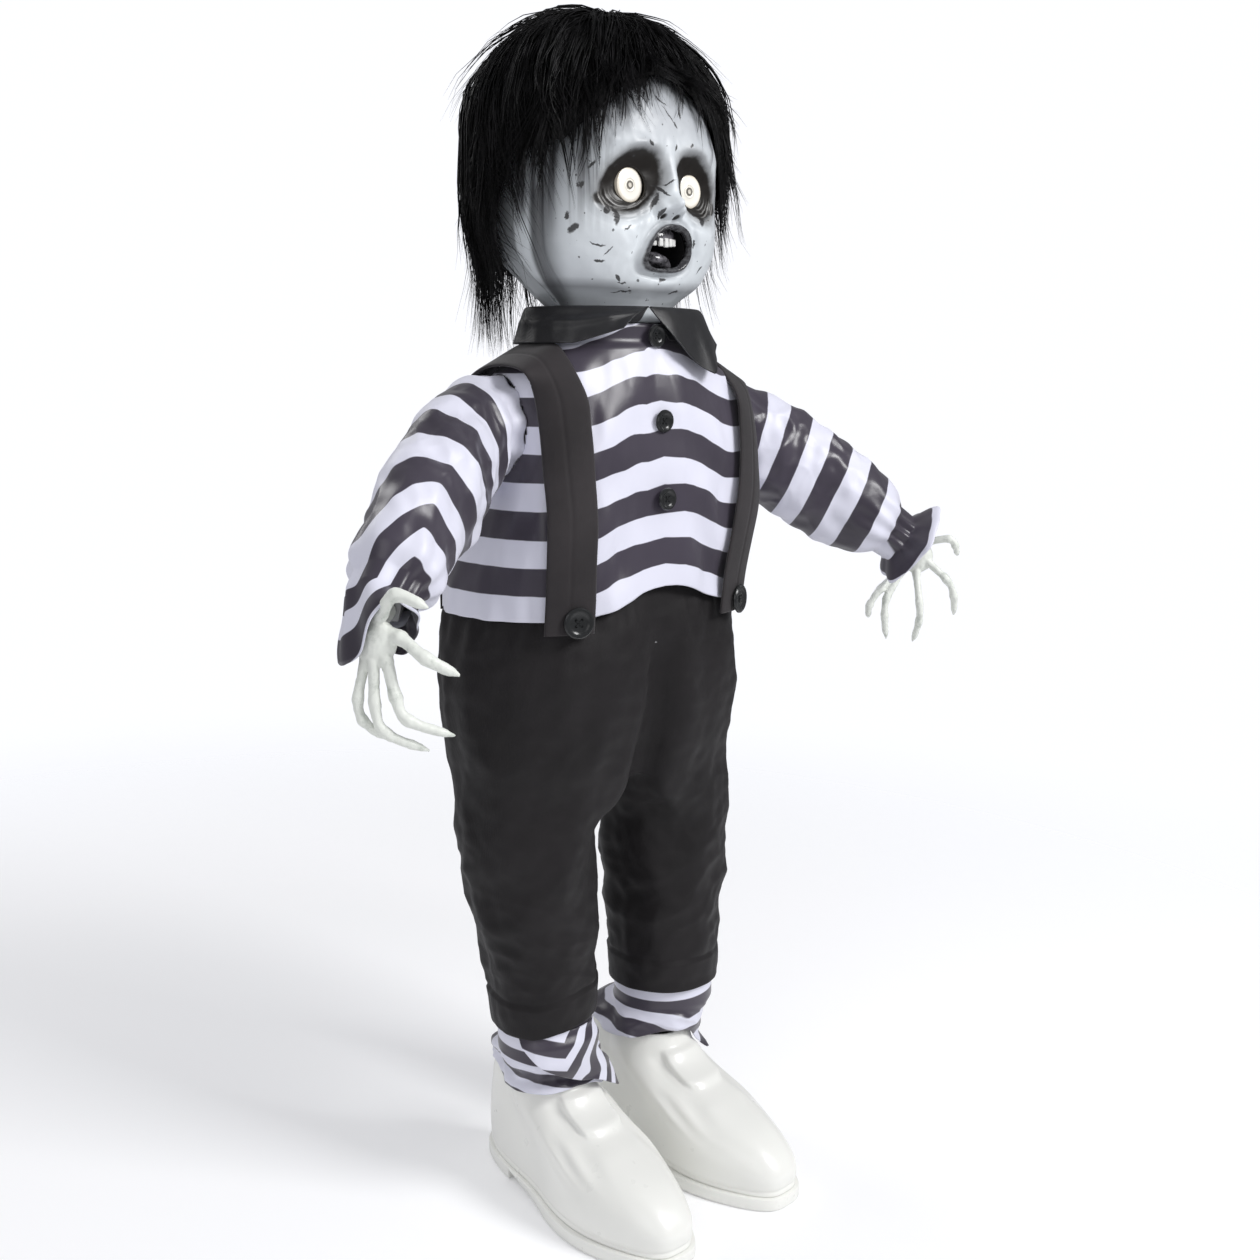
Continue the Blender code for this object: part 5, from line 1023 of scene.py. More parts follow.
def at_shoe(z, a, out=0.0):
    return shoe_outline(a, curve(z, SHOE_Z, SHOE_TOE) - out, curve(z, SHOE_Z, SHOE_HEEL) + out,
                        curve(z, SHOE_Z, SHOE_WIDE) + out)


def shoe_relief(x, y, z):
    """A moulded tab at the throat, creases across the instep, a dent beside the tab and a welt seam."""
    front = smooth(-y, 0.030, 0.045)
    tab = 0.0042 * smooth(z, 0.0700, 0.0745) * (1 - smooth(z, 0.088, 0.096)) * front
    tab *= 1 - smooth(abs(x), 0.0160, 0.0205)
    crease = -0.0013 * hill(z, 0.0680, 0.0026) * (1 - smooth(abs(x), 0.018, 0.032)) * front
    fold = 0.0010 * math.sin((z * 1.2 - y * 0.55) * 2 * math.pi / 0.0125 + 14 * abs(x))
    fold *= hill(z, 0.060, 0.012) * hill(y, -0.080, 0.026)
    dent = -0.0020 * hill(y, -0.045, 0.014) * hill(abs(x), 0.0245, 0.004) * hill(z, 0.080, 0.016)
    ankle = 0.0010 * rumple((x, y, z * 0.5), 0.022, 1.0) * smooth(z, 0.045, 0.08)
    welt = -0.0010 * hill(z, 0.0145, 0.0012)
    heel_seam = -0.0006 * hill(x, 0.0, 0.0010) * smooth(y, 0.03, 0.05)
    return tab + crease + fold + dent + ankle + welt + heel_seam


def make_shoe(side, word):
    def place(u, v):
        a = math.pi + 2 * math.pi * u
        z = SHOE_Z[0] + (SHOE_Z[-1] - SHOE_Z[0]) * v
        x, y = at_shoe(z, a)
        mid = (curve(z, SHOE_Z, SHOE_TOE) + curve(z, SHOE_Z, SHOE_HEEL)) / 2
        out = Vector((x * 1.9, (y - mid) * 0.75, 0.0)).normalized()
        lift = shoe_relief(x, y, z)
        return on_foot((x + out.x * lift, y + out.y * lift, z + max(0.0, lift) * 0.6), side), (u, v, 0.0)

    upper = wrapped(f"shoe_{word}", 190, 96, place)
    thick(upper, 0.0022)
    dress(upper, SHOE_VINYL, "torso", "shoe_vinyl", f"shoe_upper_{word}")

    angles = [2 * math.pi * i / SOLE_POINTS for i in range(SOLE_POINTS)]
    outline = [on_foot((*shoe_outline(a, *SOLE_SIZE), 0.0), side) for a in angles]
    bm = prism(outline, (0, 0, SOLE_HEIGHT))
    cut_arch(bm)
    bmesh.ops.remove_doubles(bm, verts=bm.verts, dist=1e-5)
    rims = [e for e in bm.edges if len(e.link_faces) == 2 and e.calc_face_angle(0.0) > 1.0]
    bmesh.ops.bevel(bm, geom=rims, offset=0.0011, segments=2, profile=0.5, affect="EDGES", material=-1)
    sole = from_bmesh(f"sole_{word}", bm)
    sole.data.set_sharp_from_angle(angle=math.radians(40))
    dress(sole, SHOE_VINYL, "torso", "shoe_vinyl", f"shoe_sole_{word}")


def cut_arch(bm):
    """Lifts the underside between the heel and the ball of the foot, with an upright breast at the heel."""
    front, breast, rise = -0.045 + SHIFT_Y, 0.016 + SHIFT_Y, 0.0075
    for y in (front, breast, breast + 0.0004):
        bmesh.ops.bisect_plane(bm, geom=whole(bm), plane_co=(0, y, 0), plane_no=(0, 1, 0))
    for v in bm.verts:
        if v.co.z < 0.001 and front - 1e-5 <= v.co.y <= breast + 1e-5:
            v.co.z = rise * (v.co.y - front) / (breast - front)


for side, word in SIDES:
    make_shoe(side, word)


# %% Ankle cuffs
CUFF_LOW, CUFF_TOP = 0.094, 0.174
CUFF_X, CUFF_Y = 0.061, -0.004


def cuff_base(z, a, side):
    u = smooth(z, 0.104, 0.129)
    x, y = at_shoe(min(z, 0.106), a, 0.0060)
    low = on_foot((x * 1.10, y, z), side)
    r = 0.0425 - (leg_slim(math.sin(a), -math.cos(a)) if side < 0 else 0.0)
    high = Vector((side * 0.068 + r * math.sin(a), -0.006 + SHIFT_Y - r * math.cos(a), z))
    return low.lerp(high, u)


def make_cuff(side, word):
    def place(u, v):
        a = math.pi + 2 * math.pi * u
        front = max(0.0, math.cos(a))
        tip = (0.012 if side < 0 else 0.023) * hill(math.remainder(a - 0.60, 2 * math.pi), 0.0, 0.42)
        low = CUFF_LOW + (0.004 if side < 0 else 0.011) + 0.003 * front - tip
        low += 0.003 * math.sin(2 * a + 1.0 + side)
        z = low + (CUFF_TOP - low) * v
        p = cuff_base(z, a, side)
        out = outward(p, side * CUFF_X, CUFF_Y)
        free = 1 - smooth(z, 0.118, 0.130)
        fold = 0.0040 * (crumple((p.x + 0.5 * p.z, p.y, p.z * 1.6), 0.034, 3.0 * side) - 0.35)
        fold += 0.0016 * math.sin(260 * z + 4 * math.sin(a + side) + 2 * a)
        p = p + out * (fold * free - 0.0003)
        twist = 0.0045 * math.sin(a + 0.8) + 0.0025 * math.sin(3 * a + 2.0) + 0.0020 * rumple(p, 0.020, 9.0)
        return p, (u * 0.26, z + twist * free, 0.0)

    return wrapped(f"cuff_{word}", 180, 80, place)


def make_flap(side, word):
    """One corner of the cuff folds forward over the rest, so its bands turn a corner."""
    first, last, top, low_end = -62.0, 36.0, 0.152, 0.088

    def place(u, v):
        a = math.radians(first + (last - first) * u)
        z = top - (top - low_end) * u ** 0.70 * v
        p = cuff_base(z, a, side)
        out = outward(p, side * CUFF_X, CUFF_Y)
        lift = 0.0058 + 0.0030 * v * u + 0.0014 * rumple(p, 0.018, 4.0) - 0.004 * smooth(z, 0.140, 0.150)
        slant = 0.055 * (1.5 * max(0.0, u - 0.5) - 0.35 * min(u, 0.5))
        return p + out * lift, (u * 0.05, 0.026 + slant + 0.89 * (top - z), 0.0)

    return wrapped(f"cuff_flap_{word}", 70, 40, place, closed=False, flip=True)


for side, word in SIDES:
    cuff = make_cuff(side, word)
    flaps = [make_flap(side, word)] if side < 0 else []
    sew(cuff, CUFF_SATIN, "torso", "striped_satin", f"ankle_cuff_{word}",
        with_pieces=flaps)
print("feet dressed")

# %% [markdown]
# ## Hands
# Each finger is a tube with bony knuckles and a long pointed end, drawn through the joints of the packed
# hand. A voxel remesh joins the fingers, the palm and the wrist into one skin, and a little smoothing melts
# the seams.

# %% Bony hands
# For each finger its points across, down and out from the heel of the hand, in millimetres
FINGERS = {
    -1: (((9, -9, 8), (20, -22, 18), (40, -15, 22)),
         ((20, 6, 6), (36, 17, 13), (56, 29, 8)),
         ((11, 20, 5), (17, 42, 10), (24, 56, 11), (52, 67, 6)),
         ((3, 20, 4), (4, 46, 9), (10, 64, 10), (36, 77, 4)),
         ((-2, 18, 1), (-7, 44, 5), (-4, 57, 7), (9, 69, 5))),
    1: (((-14, 17, 3), (-31, 32, 9), (-40, 46, 9), (-40, 58, 4)),
        ((-12, 17, 4), (-26, 40, 12), (-27, 55, 10), (-24, 77, 4)),
        ((0, 18, 5), (2, 44, 13), (3, 60, 10), (-1, 80, 3)),
        ((8, 8, 5), (25, 24, 12), (32, 38, 10), (34, 56, 4)),
        ((10, -8, 4), (26, -11, 9), (32, -5, 8), (35, 4, 4))),
}
FINGER_SIZE = {-1: (1.0, 0.98, 0.88, 0.82, 0.78), 1: (0.74, 0.74, 0.74, 0.76, 0.76)}
FACE_TURN = math.radians(42.0)              # the hands' broad side turns this far to the figure's right


def hand_point(side, across, down, out):
    right = Vector((math.cos(FACE_TURN), -math.sin(FACE_TURN), 0.0))
    front = Vector((-math.sin(FACE_TURN), -math.cos(FACE_TURN), 0.0))
    heel = placed(WRIST + WRIST_AHEAD * 0.016, side)
    return heel + (right * across + front * out - Vector((0, 0, down))) / 1000


def tube(points, radii, sides=12):
    """A closed tube with round ends through a smooth route."""
    bm = bmesh.new()
    rings = []
    steps = len(points)
    for k, (p, r) in enumerate(zip(points, radii)):
        ahead = (points[min(k + 1, steps - 1)] - points[max(k - 1, 0)]).normalized()
        made = bmesh.ops.create_circle(bm, segments=sides, radius=r)["verts"]
        turn = Vector((0, 0, 1)).rotation_difference(ahead).to_matrix()
        for v in made:
            v.co = p + turn @ v.co
        rings.append([e for e in bm.edges if e.verts[0] in made and e.verts[1] in made])
    for low, high in zip(rings, rings[1:]):
        bmesh.ops.bridge_loops(bm, edges=low + high)
    for ring in (rings[0], rings[-1]):
        bmesh.ops.holes_fill(bm, edges=ring, sides=0)
    bmesh.ops.recalc_face_normals(bm, faces=bm.faces)
    return bm


def merged(name, parts):
    joined = bmesh.new()
    for bm in parts:
        me = bpy.data.meshes.new("part")
        bm.to_mesh(me)
        bm.free()
        joined.from_mesh(me)
        bpy.data.meshes.remove(me)
    return from_bmesh(name, joined)


def finger(side, joints, thin):
    across, down, _ = joints[0]
    route = [hand_point(side, 0.25 * across, 0.25 * down, 0)] + [hand_point(side, *j) for j in joints]
    spans = len(route) - 1
    points, radii = [], []
    for k in range(34):
        t = k / 33 * spans
        knuckle = sum(hill(t, at, 0.17) for at in range(1, spans))
        nail = smooth(t, spans - 0.55, spans)
        points.append(catmull(route, t))
        radii.append((0.0045 - 0.0008 * t / spans + 0.0010 * knuckle) * thin * (1 - 0.72 * nail ** 1.8))
    return tube(points, radii)


def make_hand(side, word):
    parts = [finger(side, joints, thin) for joints, thin in zip(FINGERS[side], FINGER_SIZE[side])]
    mid = Vector([sum(f[0][k] for f in FINGERS[side][1:]) / 4 for k in range(3)])
    palm = bmesh.new()
    bmesh.ops.create_uvsphere(palm, u_segments=32, v_segments=20, radius=1.0)
    bmesh.ops.scale(palm, vec=(0.0135, 0.0076, 0.0145), verts=palm.verts)
    bmesh.ops.transform(palm, matrix=Matrix.Translation(hand_point(side, *(mid * 0.55)))
                        @ Matrix.Rotation(-FACE_TURN, 4, "Z"), verts=palm.verts)
    ahead = Vector((side * WRIST_AHEAD.x, WRIST_AHEAD.y, WRIST_AHEAD.z))
    start = placed(WRIST, side) - ahead * 0.0016
    wrist = tube([start + ahead * 0.0175 * k / 7 for k in range(8)],
                 [0.0118 - 0.0004 * k for k in range(8)], 24)
    pin = tube([start - ahead * 0.0110 + ahead * 0.0030 * k for k in range(6)], [0.0056] * 6, 16)
    hand = merged(f"hand_skin_{word}", parts + [palm, wrist, pin])
    remesh = hand.modifiers.new("skin", "REMESH")
    remesh.mode = "VOXEL"
    remesh.voxel_size = 0.00075
    melt = hand.modifiers.new("melt", "SMOOTH")
    melt.factor = 0.5
    melt.iterations = 5
    freeze(hand)

    def tendons(p):
        return 0.00035 * rumple((p.x, p.y, p.z * 0.45), 0.0050, 3.0) + 0.00025 * rumple(p, 0.0028, 5.0)

    move_along_normals(hand, tendons)
    dress(hand, HAND_VINYL, f"hand_{word}", "hand_vinyl", f"hand_{word}")
    print("hand", word, len(hand.data.polygons))


for side, word in SIDES:
    make_hand(side, word)

# %% [markdown]
# ## Face
# The mask is one fine sheet round the front of the head. Sections give its bulk and small hills and hollows
# give the brow, sockets, nose, cheeks, lips and chin. Real holes are cut for the lenses and the open mouth.

# %% Head form and face relief
NECK_LOW_Z, HEAD_HEIGHT = 0.6905, 0.1935
HEAD_SHARES = (0.0, 0.049, 0.080, 0.121, 0.178, 0.245, 0.333, 0.411, 0.494, 0.628, 0.762, 0.866, 0.938,
               0.979, 1.0)
HEAD_HALF_X = (0.047, 0.048, 0.052, 0.061, 0.071, 0.078, 0.080, 0.080, 0.080, 0.079, 0.074, 0.063, 0.048,
               0.033, 0.012)
HEAD_BEHIND = (0.025, 0.025, 0.020, 0.012, 0.007, 0.004, 0.002, 0.001, 0.0, 0.0, 0.006, 0.018, 0.033,
               0.046, 0.065)
HEAD_BACK = (0.023, 0.024, 0.028, 0.036, 0.046, 0.054, 0.059, 0.061, 0.062, 0.060, 0.054, 0.042, 0.028,
             0.016, 0.002)
HEAD_POWER = (2.1, 2.1, 2.2, 2.4, 2.6, 2.7, 2.7, 2.7, 2.7, 2.6, 2.4, 2.2, 2.1, 2.0, 2.0)
HEAD_FRONT_Y = -0.083
FACE_SWEEP = math.radians(91.0)
EYE_X, EYE_Z, EYE_R = 0.0292, 0.784, 0.0118
EYE_FACE_Y = HEAD_FRONT_Y + 0.0112
SOCKET_X, SOCKET_Z, SOCKET_W, SOCKET_H = 0.0312, 0.7862, 0.0275, 0.0196
MOUTH_Z, MOUTH_W, MOUTH_H = 0.7415, 0.0172, 0.0135
MOUTH_LEAN, MOUTH_TAPER, MOUTH_X, MOUTH_POWER = 0.0026, 0.0030, 0.0005, 2.8
# Hills and hollows of the face: depth outwards, place across and up, half width and half height
FACE_SPOTS = (
    (0.0128, 0.0, 0.7715, 0.0074, 0.0066), (0.0064, 0.0, 0.7860, 0.0056, 0.0150),           # tip and bridge
    (0.0056, 0.0100, 0.7685, 0.0036, 0.0044), (-0.0020, 0.0148, 0.7680, 0.0024, 0.0060),    # nose wings
    (-0.0050, 0.0060, 0.7630, 0.0028, 0.0022),                                              # nostrils
    (0.0026, 0.030, 0.8125, 0.022, 0.0060), (-0.0016, 0.0045, 0.8060, 0.0016, 0.0090),      # brow and frown
    (0.0036, 0.043, 0.752, 0.018, 0.014),                                                   # cheeks
    (0.0040, 0.0, 0.7165, 0.0150, 0.0064), (-0.0020, 0.0, 0.7222, 0.0120, 0.0022),          # chin
)


def head_z(share):
    return NECK_LOW_Z + HEAD_HEIGHT * share


def head_point(z, azimuth, inset=0.0):
    """A point of the bare head; azimuth 0 is the front and 90 degrees the figure's left."""
    share = (z - NECK_LOW_Z) / HEAD_HEIGHT
    front = HEAD_FRONT_Y + curve(share, HEAD_SHARES, HEAD_BEHIND) + inset
    back = curve(share, HEAD_SHARES, HEAD_BACK) - inset
    half_x = max(curve(share, HEAD_SHARES, HEAD_HALF_X) - inset, 0.002)
    half_y = max((back - front) / 2, 0.002)
    x, y = superellipse(half_x, half_y, curve(share, HEAD_SHARES, HEAD_POWER), azimuth - math.pi / 2)
    return Vector((x, (front + back) / 2 + y, z))


def spot(x, z, x0, z0, wide, tall):
    return math.exp(-((x - x0) / wide) ** 2 - ((z - z0) / tall) ** 2)


def socket_level(x, z):
    """1 on the sprayed edge of an eye socket, less inside; x counts from the middle."""
    out, up = x - SOCKET_X, z - SOCKET_Z                # the long axis runs from high inside to low outside
    along, across = out * 0.80 - up * 0.60, out * 0.60 + up * 0.80
    return ((along / SOCKET_W) ** 2.0 + (across / SOCKET_H) ** 2.0) ** 0.5


def mouth_level(x, z):
    """1 on the edge of the opening, which is wider below and leans to the figure's left at the top."""
    t = (z - MOUTH_Z) / MOUTH_H
    side = abs((x - t * MOUTH_LEAN - MOUTH_X) / (MOUTH_W - t * MOUTH_TAPER))
    return (side ** MOUTH_POWER + abs(t) ** MOUTH_POWER) ** (1 / MOUTH_POWER)


def face_relief(x_signed, z):
    x = abs(x_signed)
    eye, mouth = socket_level(x, z), mouth_level(x_signed, z)
    spots = sum(depth * spot(x, z, *where) for depth, *where in FACE_SPOTS)
    socket = -0.0098 * math.exp(-eye ** 3.0) + 0.0016 * hill(eye, 1.10, 0.15)
    bag = -0.0013 * max(0.0, math.sin(eye * 24)) * smooth(SOCKET_Z - z, 0.004, 0.012) * hill(eye, 0.98, 0.30)
    furrow = -0.0024 * spot(x, z, 0.0285 - 0.20 * (z - MOUTH_Z), 0.7500, 0.0032, 0.0170)
    lips = 0.0042 * hill(mouth, 1.15, 0.13) - 0.0016 * hill(mouth, 1.44, 0.10)
    jaw = 0.0018 * hill(z, 0.7185, 0.0065) * smooth(x, 0.02, 0.06)
    dents = 0.0007 * rumple((x_signed, 0.0, z), 0.016, 4.0) + 0.0004 * rumple((x_signed, 0.0, z), 0.006, 8.0)
    return spots + socket + bag + furrow + lips + jaw + dents


def face_place(u, v):
    azimuth = (2 * u - 1) * FACE_SWEEP
    z = NECK_LOW_Z + (HEAD_HEIGHT - 0.0004) * v
    p = head_point(z, azimuth)
    turn = abs(azimuth) / FACE_SWEEP
    edge = smooth(turn, 0.90, 1.0)
    p.x += math.copysign(0.0040 * edge * smooth(z, NECK_LOW_Z, NECK_LOW_Z + 0.05), p.x)
    out = Vector((p.x, p.y + 0.010, 0.0)).normalized()
    p += out * (-0.0018 * hill(turn, 0.865, 0.022) * smooth(z, 0.70, 0.72))
    front = smooth(-p.y, 0.020, 0.055)
    if front > 0:
        p.y -= face_relief(p.x, z) * front
    return placed(p), (azimuth, z, 0.0)


def circle_outline(x, z, radius, count):
    angles = [2 * math.pi * k / count for k in range(count)]
    return [(x + radius * math.cos(a), z + radius * math.sin(a)) for a in angles]


def hole_through(obj, outline, y_from, y_to):
    """Cuts a hole of any outline through a piece, straight along Y."""
    ends = [Vector((x, y_from, z)) for x, z in outline]
    tool = from_bmesh("hole_tool", prism(ends, (0, y_to - y_from, 0)))
    cut = obj.modifiers.new("hole", "BOOLEAN")
    cut.object = tool
    cut.solver = "EXACT"
    freeze(obj)
    bpy.data.objects.remove(tool, do_unlink=True)


def mouth_outline(count=72):
    points = []
    for i in range(count):
        a = 2 * math.pi * i / count
        x, t = superellipse(1.0, 1.0, MOUTH_POWER, a)
        ragged = 1 + 0.035 * math.sin(3 * a + 0.8) + 0.018 * math.sin(7 * a + 2.0)
        x, t = x * ragged, t * ragged
        points.append((x * (MOUTH_W - t * MOUTH_TAPER) + t * MOUTH_LEAN + MOUTH_X, MOUTH_Z + t * MOUTH_H))
    return points


CUT_YS = (SHIFT_Y - 0.110, SHIFT_Y - 0.035)         # from before the face to behind its wall


def make_face():
    face = wrapped("face_skin", 220, 200, face_place, closed=False)
    thick(face, 0.0022)
    freeze(face)
    outlines = [circle_outline(side * EYE_X, EYE_Z, EYE_R + 0.0003, 64) for side, _ in SIDES]
    for outline in (*outlines, mouth_outline()):
        hole_through(face, outline, *CUT_YS)
    return face


FACE = make_face()
print("face", len(FACE.data.polygons))

# %% [markdown]
# ## Face paint
# The paint is built in layers, each one a mask: jaw and rim shading, soft streaks and painted shade under
# the hair, the sprayed sockets, the lips and the nostrils, and last the thin dark cracks.

# %% Face paint
# Scratches and blots: x and z from the middle in millimetres, turn in degrees, half length and half width
MARKS = (
    (2, 833, -52, 9, 0.7), (-3, 843, -35, 6, 0.6), (13, 836, 84, 5, 1.2), (7, 827, -60, 3, 1.3),
    (-19, 812, -50, 3, 1.5), (5, 811, 75, 3, 1.2), (20, 814, 40, 2.5, 1.2), (-69, 753, 70, 4, 2.0),
    (-71, 762, 80, 3, 1.0), (-57, 742, -20, 5, 0.7), (-54, 731, -12, 4, 0.8), (-50, 738, 60, 4, 0.5),
    (-38, 720, -48, 4, 1.2), (-34, 717, 5, 4, 0.6), (-38, 754, 40, 4, 0.7), (-2, 720, 20, 4, 1.6),
    (39, 729, 42, 4.5, 0.8), (-14, 773, 62, 8, 1.6), (-9, 781, -40, 6, 1.0), (-4, 786, 30, 5, 0.7),
    (-11, 765, 75, 4, 1.6), (4, 789, -70, 5, 0.6), (-46, 762, 86, 8, 2.2), (-51, 766, 70, 4, 2.4),
    (36, 765, 65, 6, 3.0), (31, 768, 30, 4, 2.0), (-60, 795, 60, 4, 1.0), (-66, 782, 80, 3, 1.4),
    (28, 747, 80, 3, 0.9), (-30, 711, 3, 7, 0.7), (17, 712, 12, 6, 0.9),
)


def face_paint():
    f = Finish("face_vinyl", Specular_IOR_Level=0.5)
    at = f.place()
    x, y, z = f.split(at)
    side = abs(x)
    azimuth = f.add("ShaderNodeMath", {0: side, 1: SHIFT_Y - 0.010 - y}, operation="ARCTAN2")
    ragged = f.noise(at, 95.0, 4.0, 0.65) - 0.5
    rough = f.noise(at, 330.0, 3.0, 0.7) - 0.5
    pale, grey, dark = srgb(222, 227, 231), srgb(112, 114, 118), srgb(27, 23, 20)
    colour = f.mix(f.noise(at, 26.0, 4.0).step(0.35, 0.75), srgb(208, 213, 217), pale)
    colour = f.mix(z.step(0.795, 0.835) * 0.80, colour, srgb(168, 171, 176))

    # Grey on the cheeks and below the hairline: sprayed streaks together with painted shade from the hair.
    streak = f.noise(at, 120.0, 4.0, 0.6, stretch=(1.0, 1.0, 0.05))
    fall = f.noise(at, 40.0, 2.0, 0.5, stretch=(1.0, 1.0, 0.12)) - 0.5
    cheek = azimuth.step(0.50, 0.92) * azimuth.step(1.42, 1.34) * (z + fall * 0.06).step(0.735, 0.800)
    brow = (z + fall * 0.050 + azimuth * 0.062).step(0.846, 0.876)
    streaks_and_hair_shade = cheek.top(brow)
    colour = f.mix(streaks_and_hair_shade * 0.42, colour, grey)
    colour = f.mix(streaks_and_hair_shade * streak.step(0.42, 0.62) * 0.92, colour, srgb(58, 58, 62))

    jaw = (1.0 - abs((z - 0.7115 - azimuth * 0.003) / 0.0065).low(1.0)) * 0.65
    colour = f.mix(jaw, colour, grey)
    # Painted shadow inside the rim flange, beside its groove, below the hair.
    rim = azimuth.step(1.02, 1.34) * azimuth.step(1.44, 1.385) * z.step(0.800, 0.775)
    colour = f.mix(rim * 0.80, colour, srgb(48, 48, 51))

    eye = socket_level(side, z) + ragged * 0.20
    corner = (((side - 0.0505) / 0.0105) ** 2.0 + ((z - 0.7735) / 0.0056) ** 2.0) ** 0.5 + ragged * 0.5
    socket = eye.step(1.05, 0.88).top(corner.step(1.10, 0.75) * 0.92)
    colour = f.mix(eye.step(1.34, 0.98) * 0.60, colour, srgb(96, 94, 94))
    colour = f.mix(socket, colour, dark)
    lines = ((socket_level(side, z) * 52.0 + ragged * 5.0).wave()).step(0.30, 0.80)
    lines = lines * side.step(0.034, 0.044) * z.step(0.782, 0.774) * eye.step(1.16, 0.95)
    colour = f.mix(lines * 0.75, colour, srgb(134, 133, 131))
    nostril = (((side - 0.0064) / 0.0028) ** 2.0 + ((z - 0.7636) / 0.0018) ** 2.0) ** 0.5 + rough * 0.2
    colour = f.mix(nostril.step(1.15, 0.70), colour, dark)

    mouth = mouth_level(x, z) + ragged * 0.08
    colour = f.mix(mouth.step(1.75, 1.28) * 0.40, colour, srgb(120, 122, 126))
    lip = mouth.step(1.30, 1.22)
    colour = f.mix(lip * (0.93 + rough * 0.6), colour, srgb(50, 49, 52))

    warp_x = x + ragged * 0.0060 + rough * 0.0022
    warp_z = z + (f.noise(at, 150.0, 4.0, 0.6) - 0.5) * 0.0060
    spots = 0.0
    for x0, z0, turn, long, wide in MARKS:
        c, s = math.cos(math.radians(turn)), math.sin(math.radians(turn))
        dx, dz = warp_x - x0 / 1000, warp_z - z0 / 1000
        reach = ((dx * c + dz * s) / (long / 1000)) ** 2.0 + ((dz * c - dx * s) / (wide / 1000)) ** 2.0
        spots = reach.step(1.15, 0.45).top(spots)
    colour = f.mix(spots * 0.92, colour, srgb(33, 31, 32))
    specks = f.noise(at, 240.0, 1.0).step(0.735, 0.765)
    colour = f.mix(specks * 0.8, colour, srgb(50, 50, 52))

    f.set(Base_Color=colour, Roughness=0.40 + ragged * 0.16 - lip * 0.15)
    f.bump(f.noise(at, 240.0, 4.0, 0.6) + streak * 0.4 - spots * 0.9, 0.16, 0.0006)
    return f.material


dress(FACE, face_paint(), "head", "face_vinyl", "face_mask")
print("face painted")

# %% [markdown]
# ## Eyes and mouth
# A lens is a shallow white dish with a raised ring and a small dark hub. Behind the lips lie a black
# throat, a gum with small uneven teeth and a wet, lumpy tongue.

# %% Lenses
def turned(name, profile, centre, steps=64):
    """Spins a profile of (radius, outward) pairs about a line along Y; outward is towards the front."""
    bm = bmesh.new()
    row = [bm.verts.new((r, -out, 0.0)) for r, out in profile]
    edges = [bm.edges.new(pair) for pair in zip(row, row[1:])]
    bmesh.ops.spin(bm, geom=row + edges, cent=(0, 0, 0), axis=(0, 1, 0), angle=2 * math.pi, steps=steps,
                   use_merge=True)
    bmesh.ops.remove_doubles(bm, verts=bm.verts, dist=1e-6)
    bmesh.ops.recalc_face_normals(bm, faces=bm.faces)
    bmesh.ops.translate(bm, vec=centre, verts=bm.verts)
    return from_bmesh(name, bm)


def lens_finish(side, word):
    # The lens glows faintly in its own colour, a painted glow that brightens the white.
    f = Finish(f"lens_white_{word}", Coat_Weight=0.5, Emission_Strength=0.02)
    x, _, z = f.split(f.place())
    away = ((x - side * EYE_X) ** 2 + (z - EYE_Z) ** 2) ** 0.5
    ring = 1.0 - abs((away - 0.0046) / 0.0006).low(1.0)
    hub = away.step(0.0033, 0.0028)
    centre = away.step(0.0019, 0.0014)
    colour = f.mix(away.step(0.0092, 0.0122), srgb(250, 246, 236), srgb(222, 212, 194))
    colour = f.mix(ring * 0.35, colour, srgb(190, 182, 166))
    colour = f.mix(hub, colour, srgb(104, 100, 92))
    colour = f.mix(centre, colour, srgb(214, 208, 196))
    f.set(Base_Color=colour, Emission_Color=colour, Roughness=0.25 + hub * 0.2)
    return f.material


# Radius and height of the lens from its hub to its rim and round to its back
LENS_PROFILE = ((0.0, -0.0002), (0.0014, -0.0002), (0.0018, 0.0003), (0.0028, 0.0003), (0.0033, -0.0006),
                (0.0042, -0.0005), (0.0046, -0.0001), (0.0050, -0.0004), (0.0085, -0.0001),
                (0.0108, -0.0001), (0.0118, -0.0006), (EYE_R, -0.0016), (EYE_R, -0.0050), (0.0, -0.0050))


def make_lens(side, word):
    lens = turned(f"lens_{word}", LENS_PROFILE, (side * EYE_X, EYE_FACE_Y + SHIFT_Y, EYE_Z))
    lens.data.set_sharp_from_angle(angle=math.radians(50))
    dress(lens, lens_finish(side, word), "head", "lens_white", f"eye_lens_{word}")


for side, word in SIDES:
    make_lens(side, word)


# %% Teeth and tongue
MOUTH_FRONT = -0.0795 + SHIFT_Y
BEND = 26                                           # how fast the row of teeth curves back


def make_teeth():
    """Five short teeth in a curved row under a dark gum."""
    bm = bmesh.new()
    wobble = random.Random(4)
    for k in (-2, -1, 0, 1, 2):
        x = k * 0.0047
        wide = 0.0020 - 0.0001 * abs(k)
        tall = 0.0031 - 0.0003 * abs(k) + 0.0004 * wobble.random()
        at = (x + 0.0012, MOUTH_FRONT + 0.0030 + BEND * x * x, 0.7476 - tall * 0.5)
        made = bmesh.ops.create_cube(bm, size=2.0)["verts"]
        bmesh.ops.scale(bm, vec=(wide, 0.0013, tall), verts=made)
        bmesh.ops.rotate(bm, cent=(0, 0, 0), matrix=Matrix.Rotation(0.10 * k, 3, "Z"), verts=made)
        bmesh.ops.translate(bm, vec=at, verts=made)
    bmesh.ops.bevel(bm, geom=bm.edges[:], offset=0.0008, segments=3, profile=0.5, affect="EDGES", material=-1)
    dress(from_bmesh("teeth_row", bm), TOOTH, "head", "tooth_white", "upper_teeth")


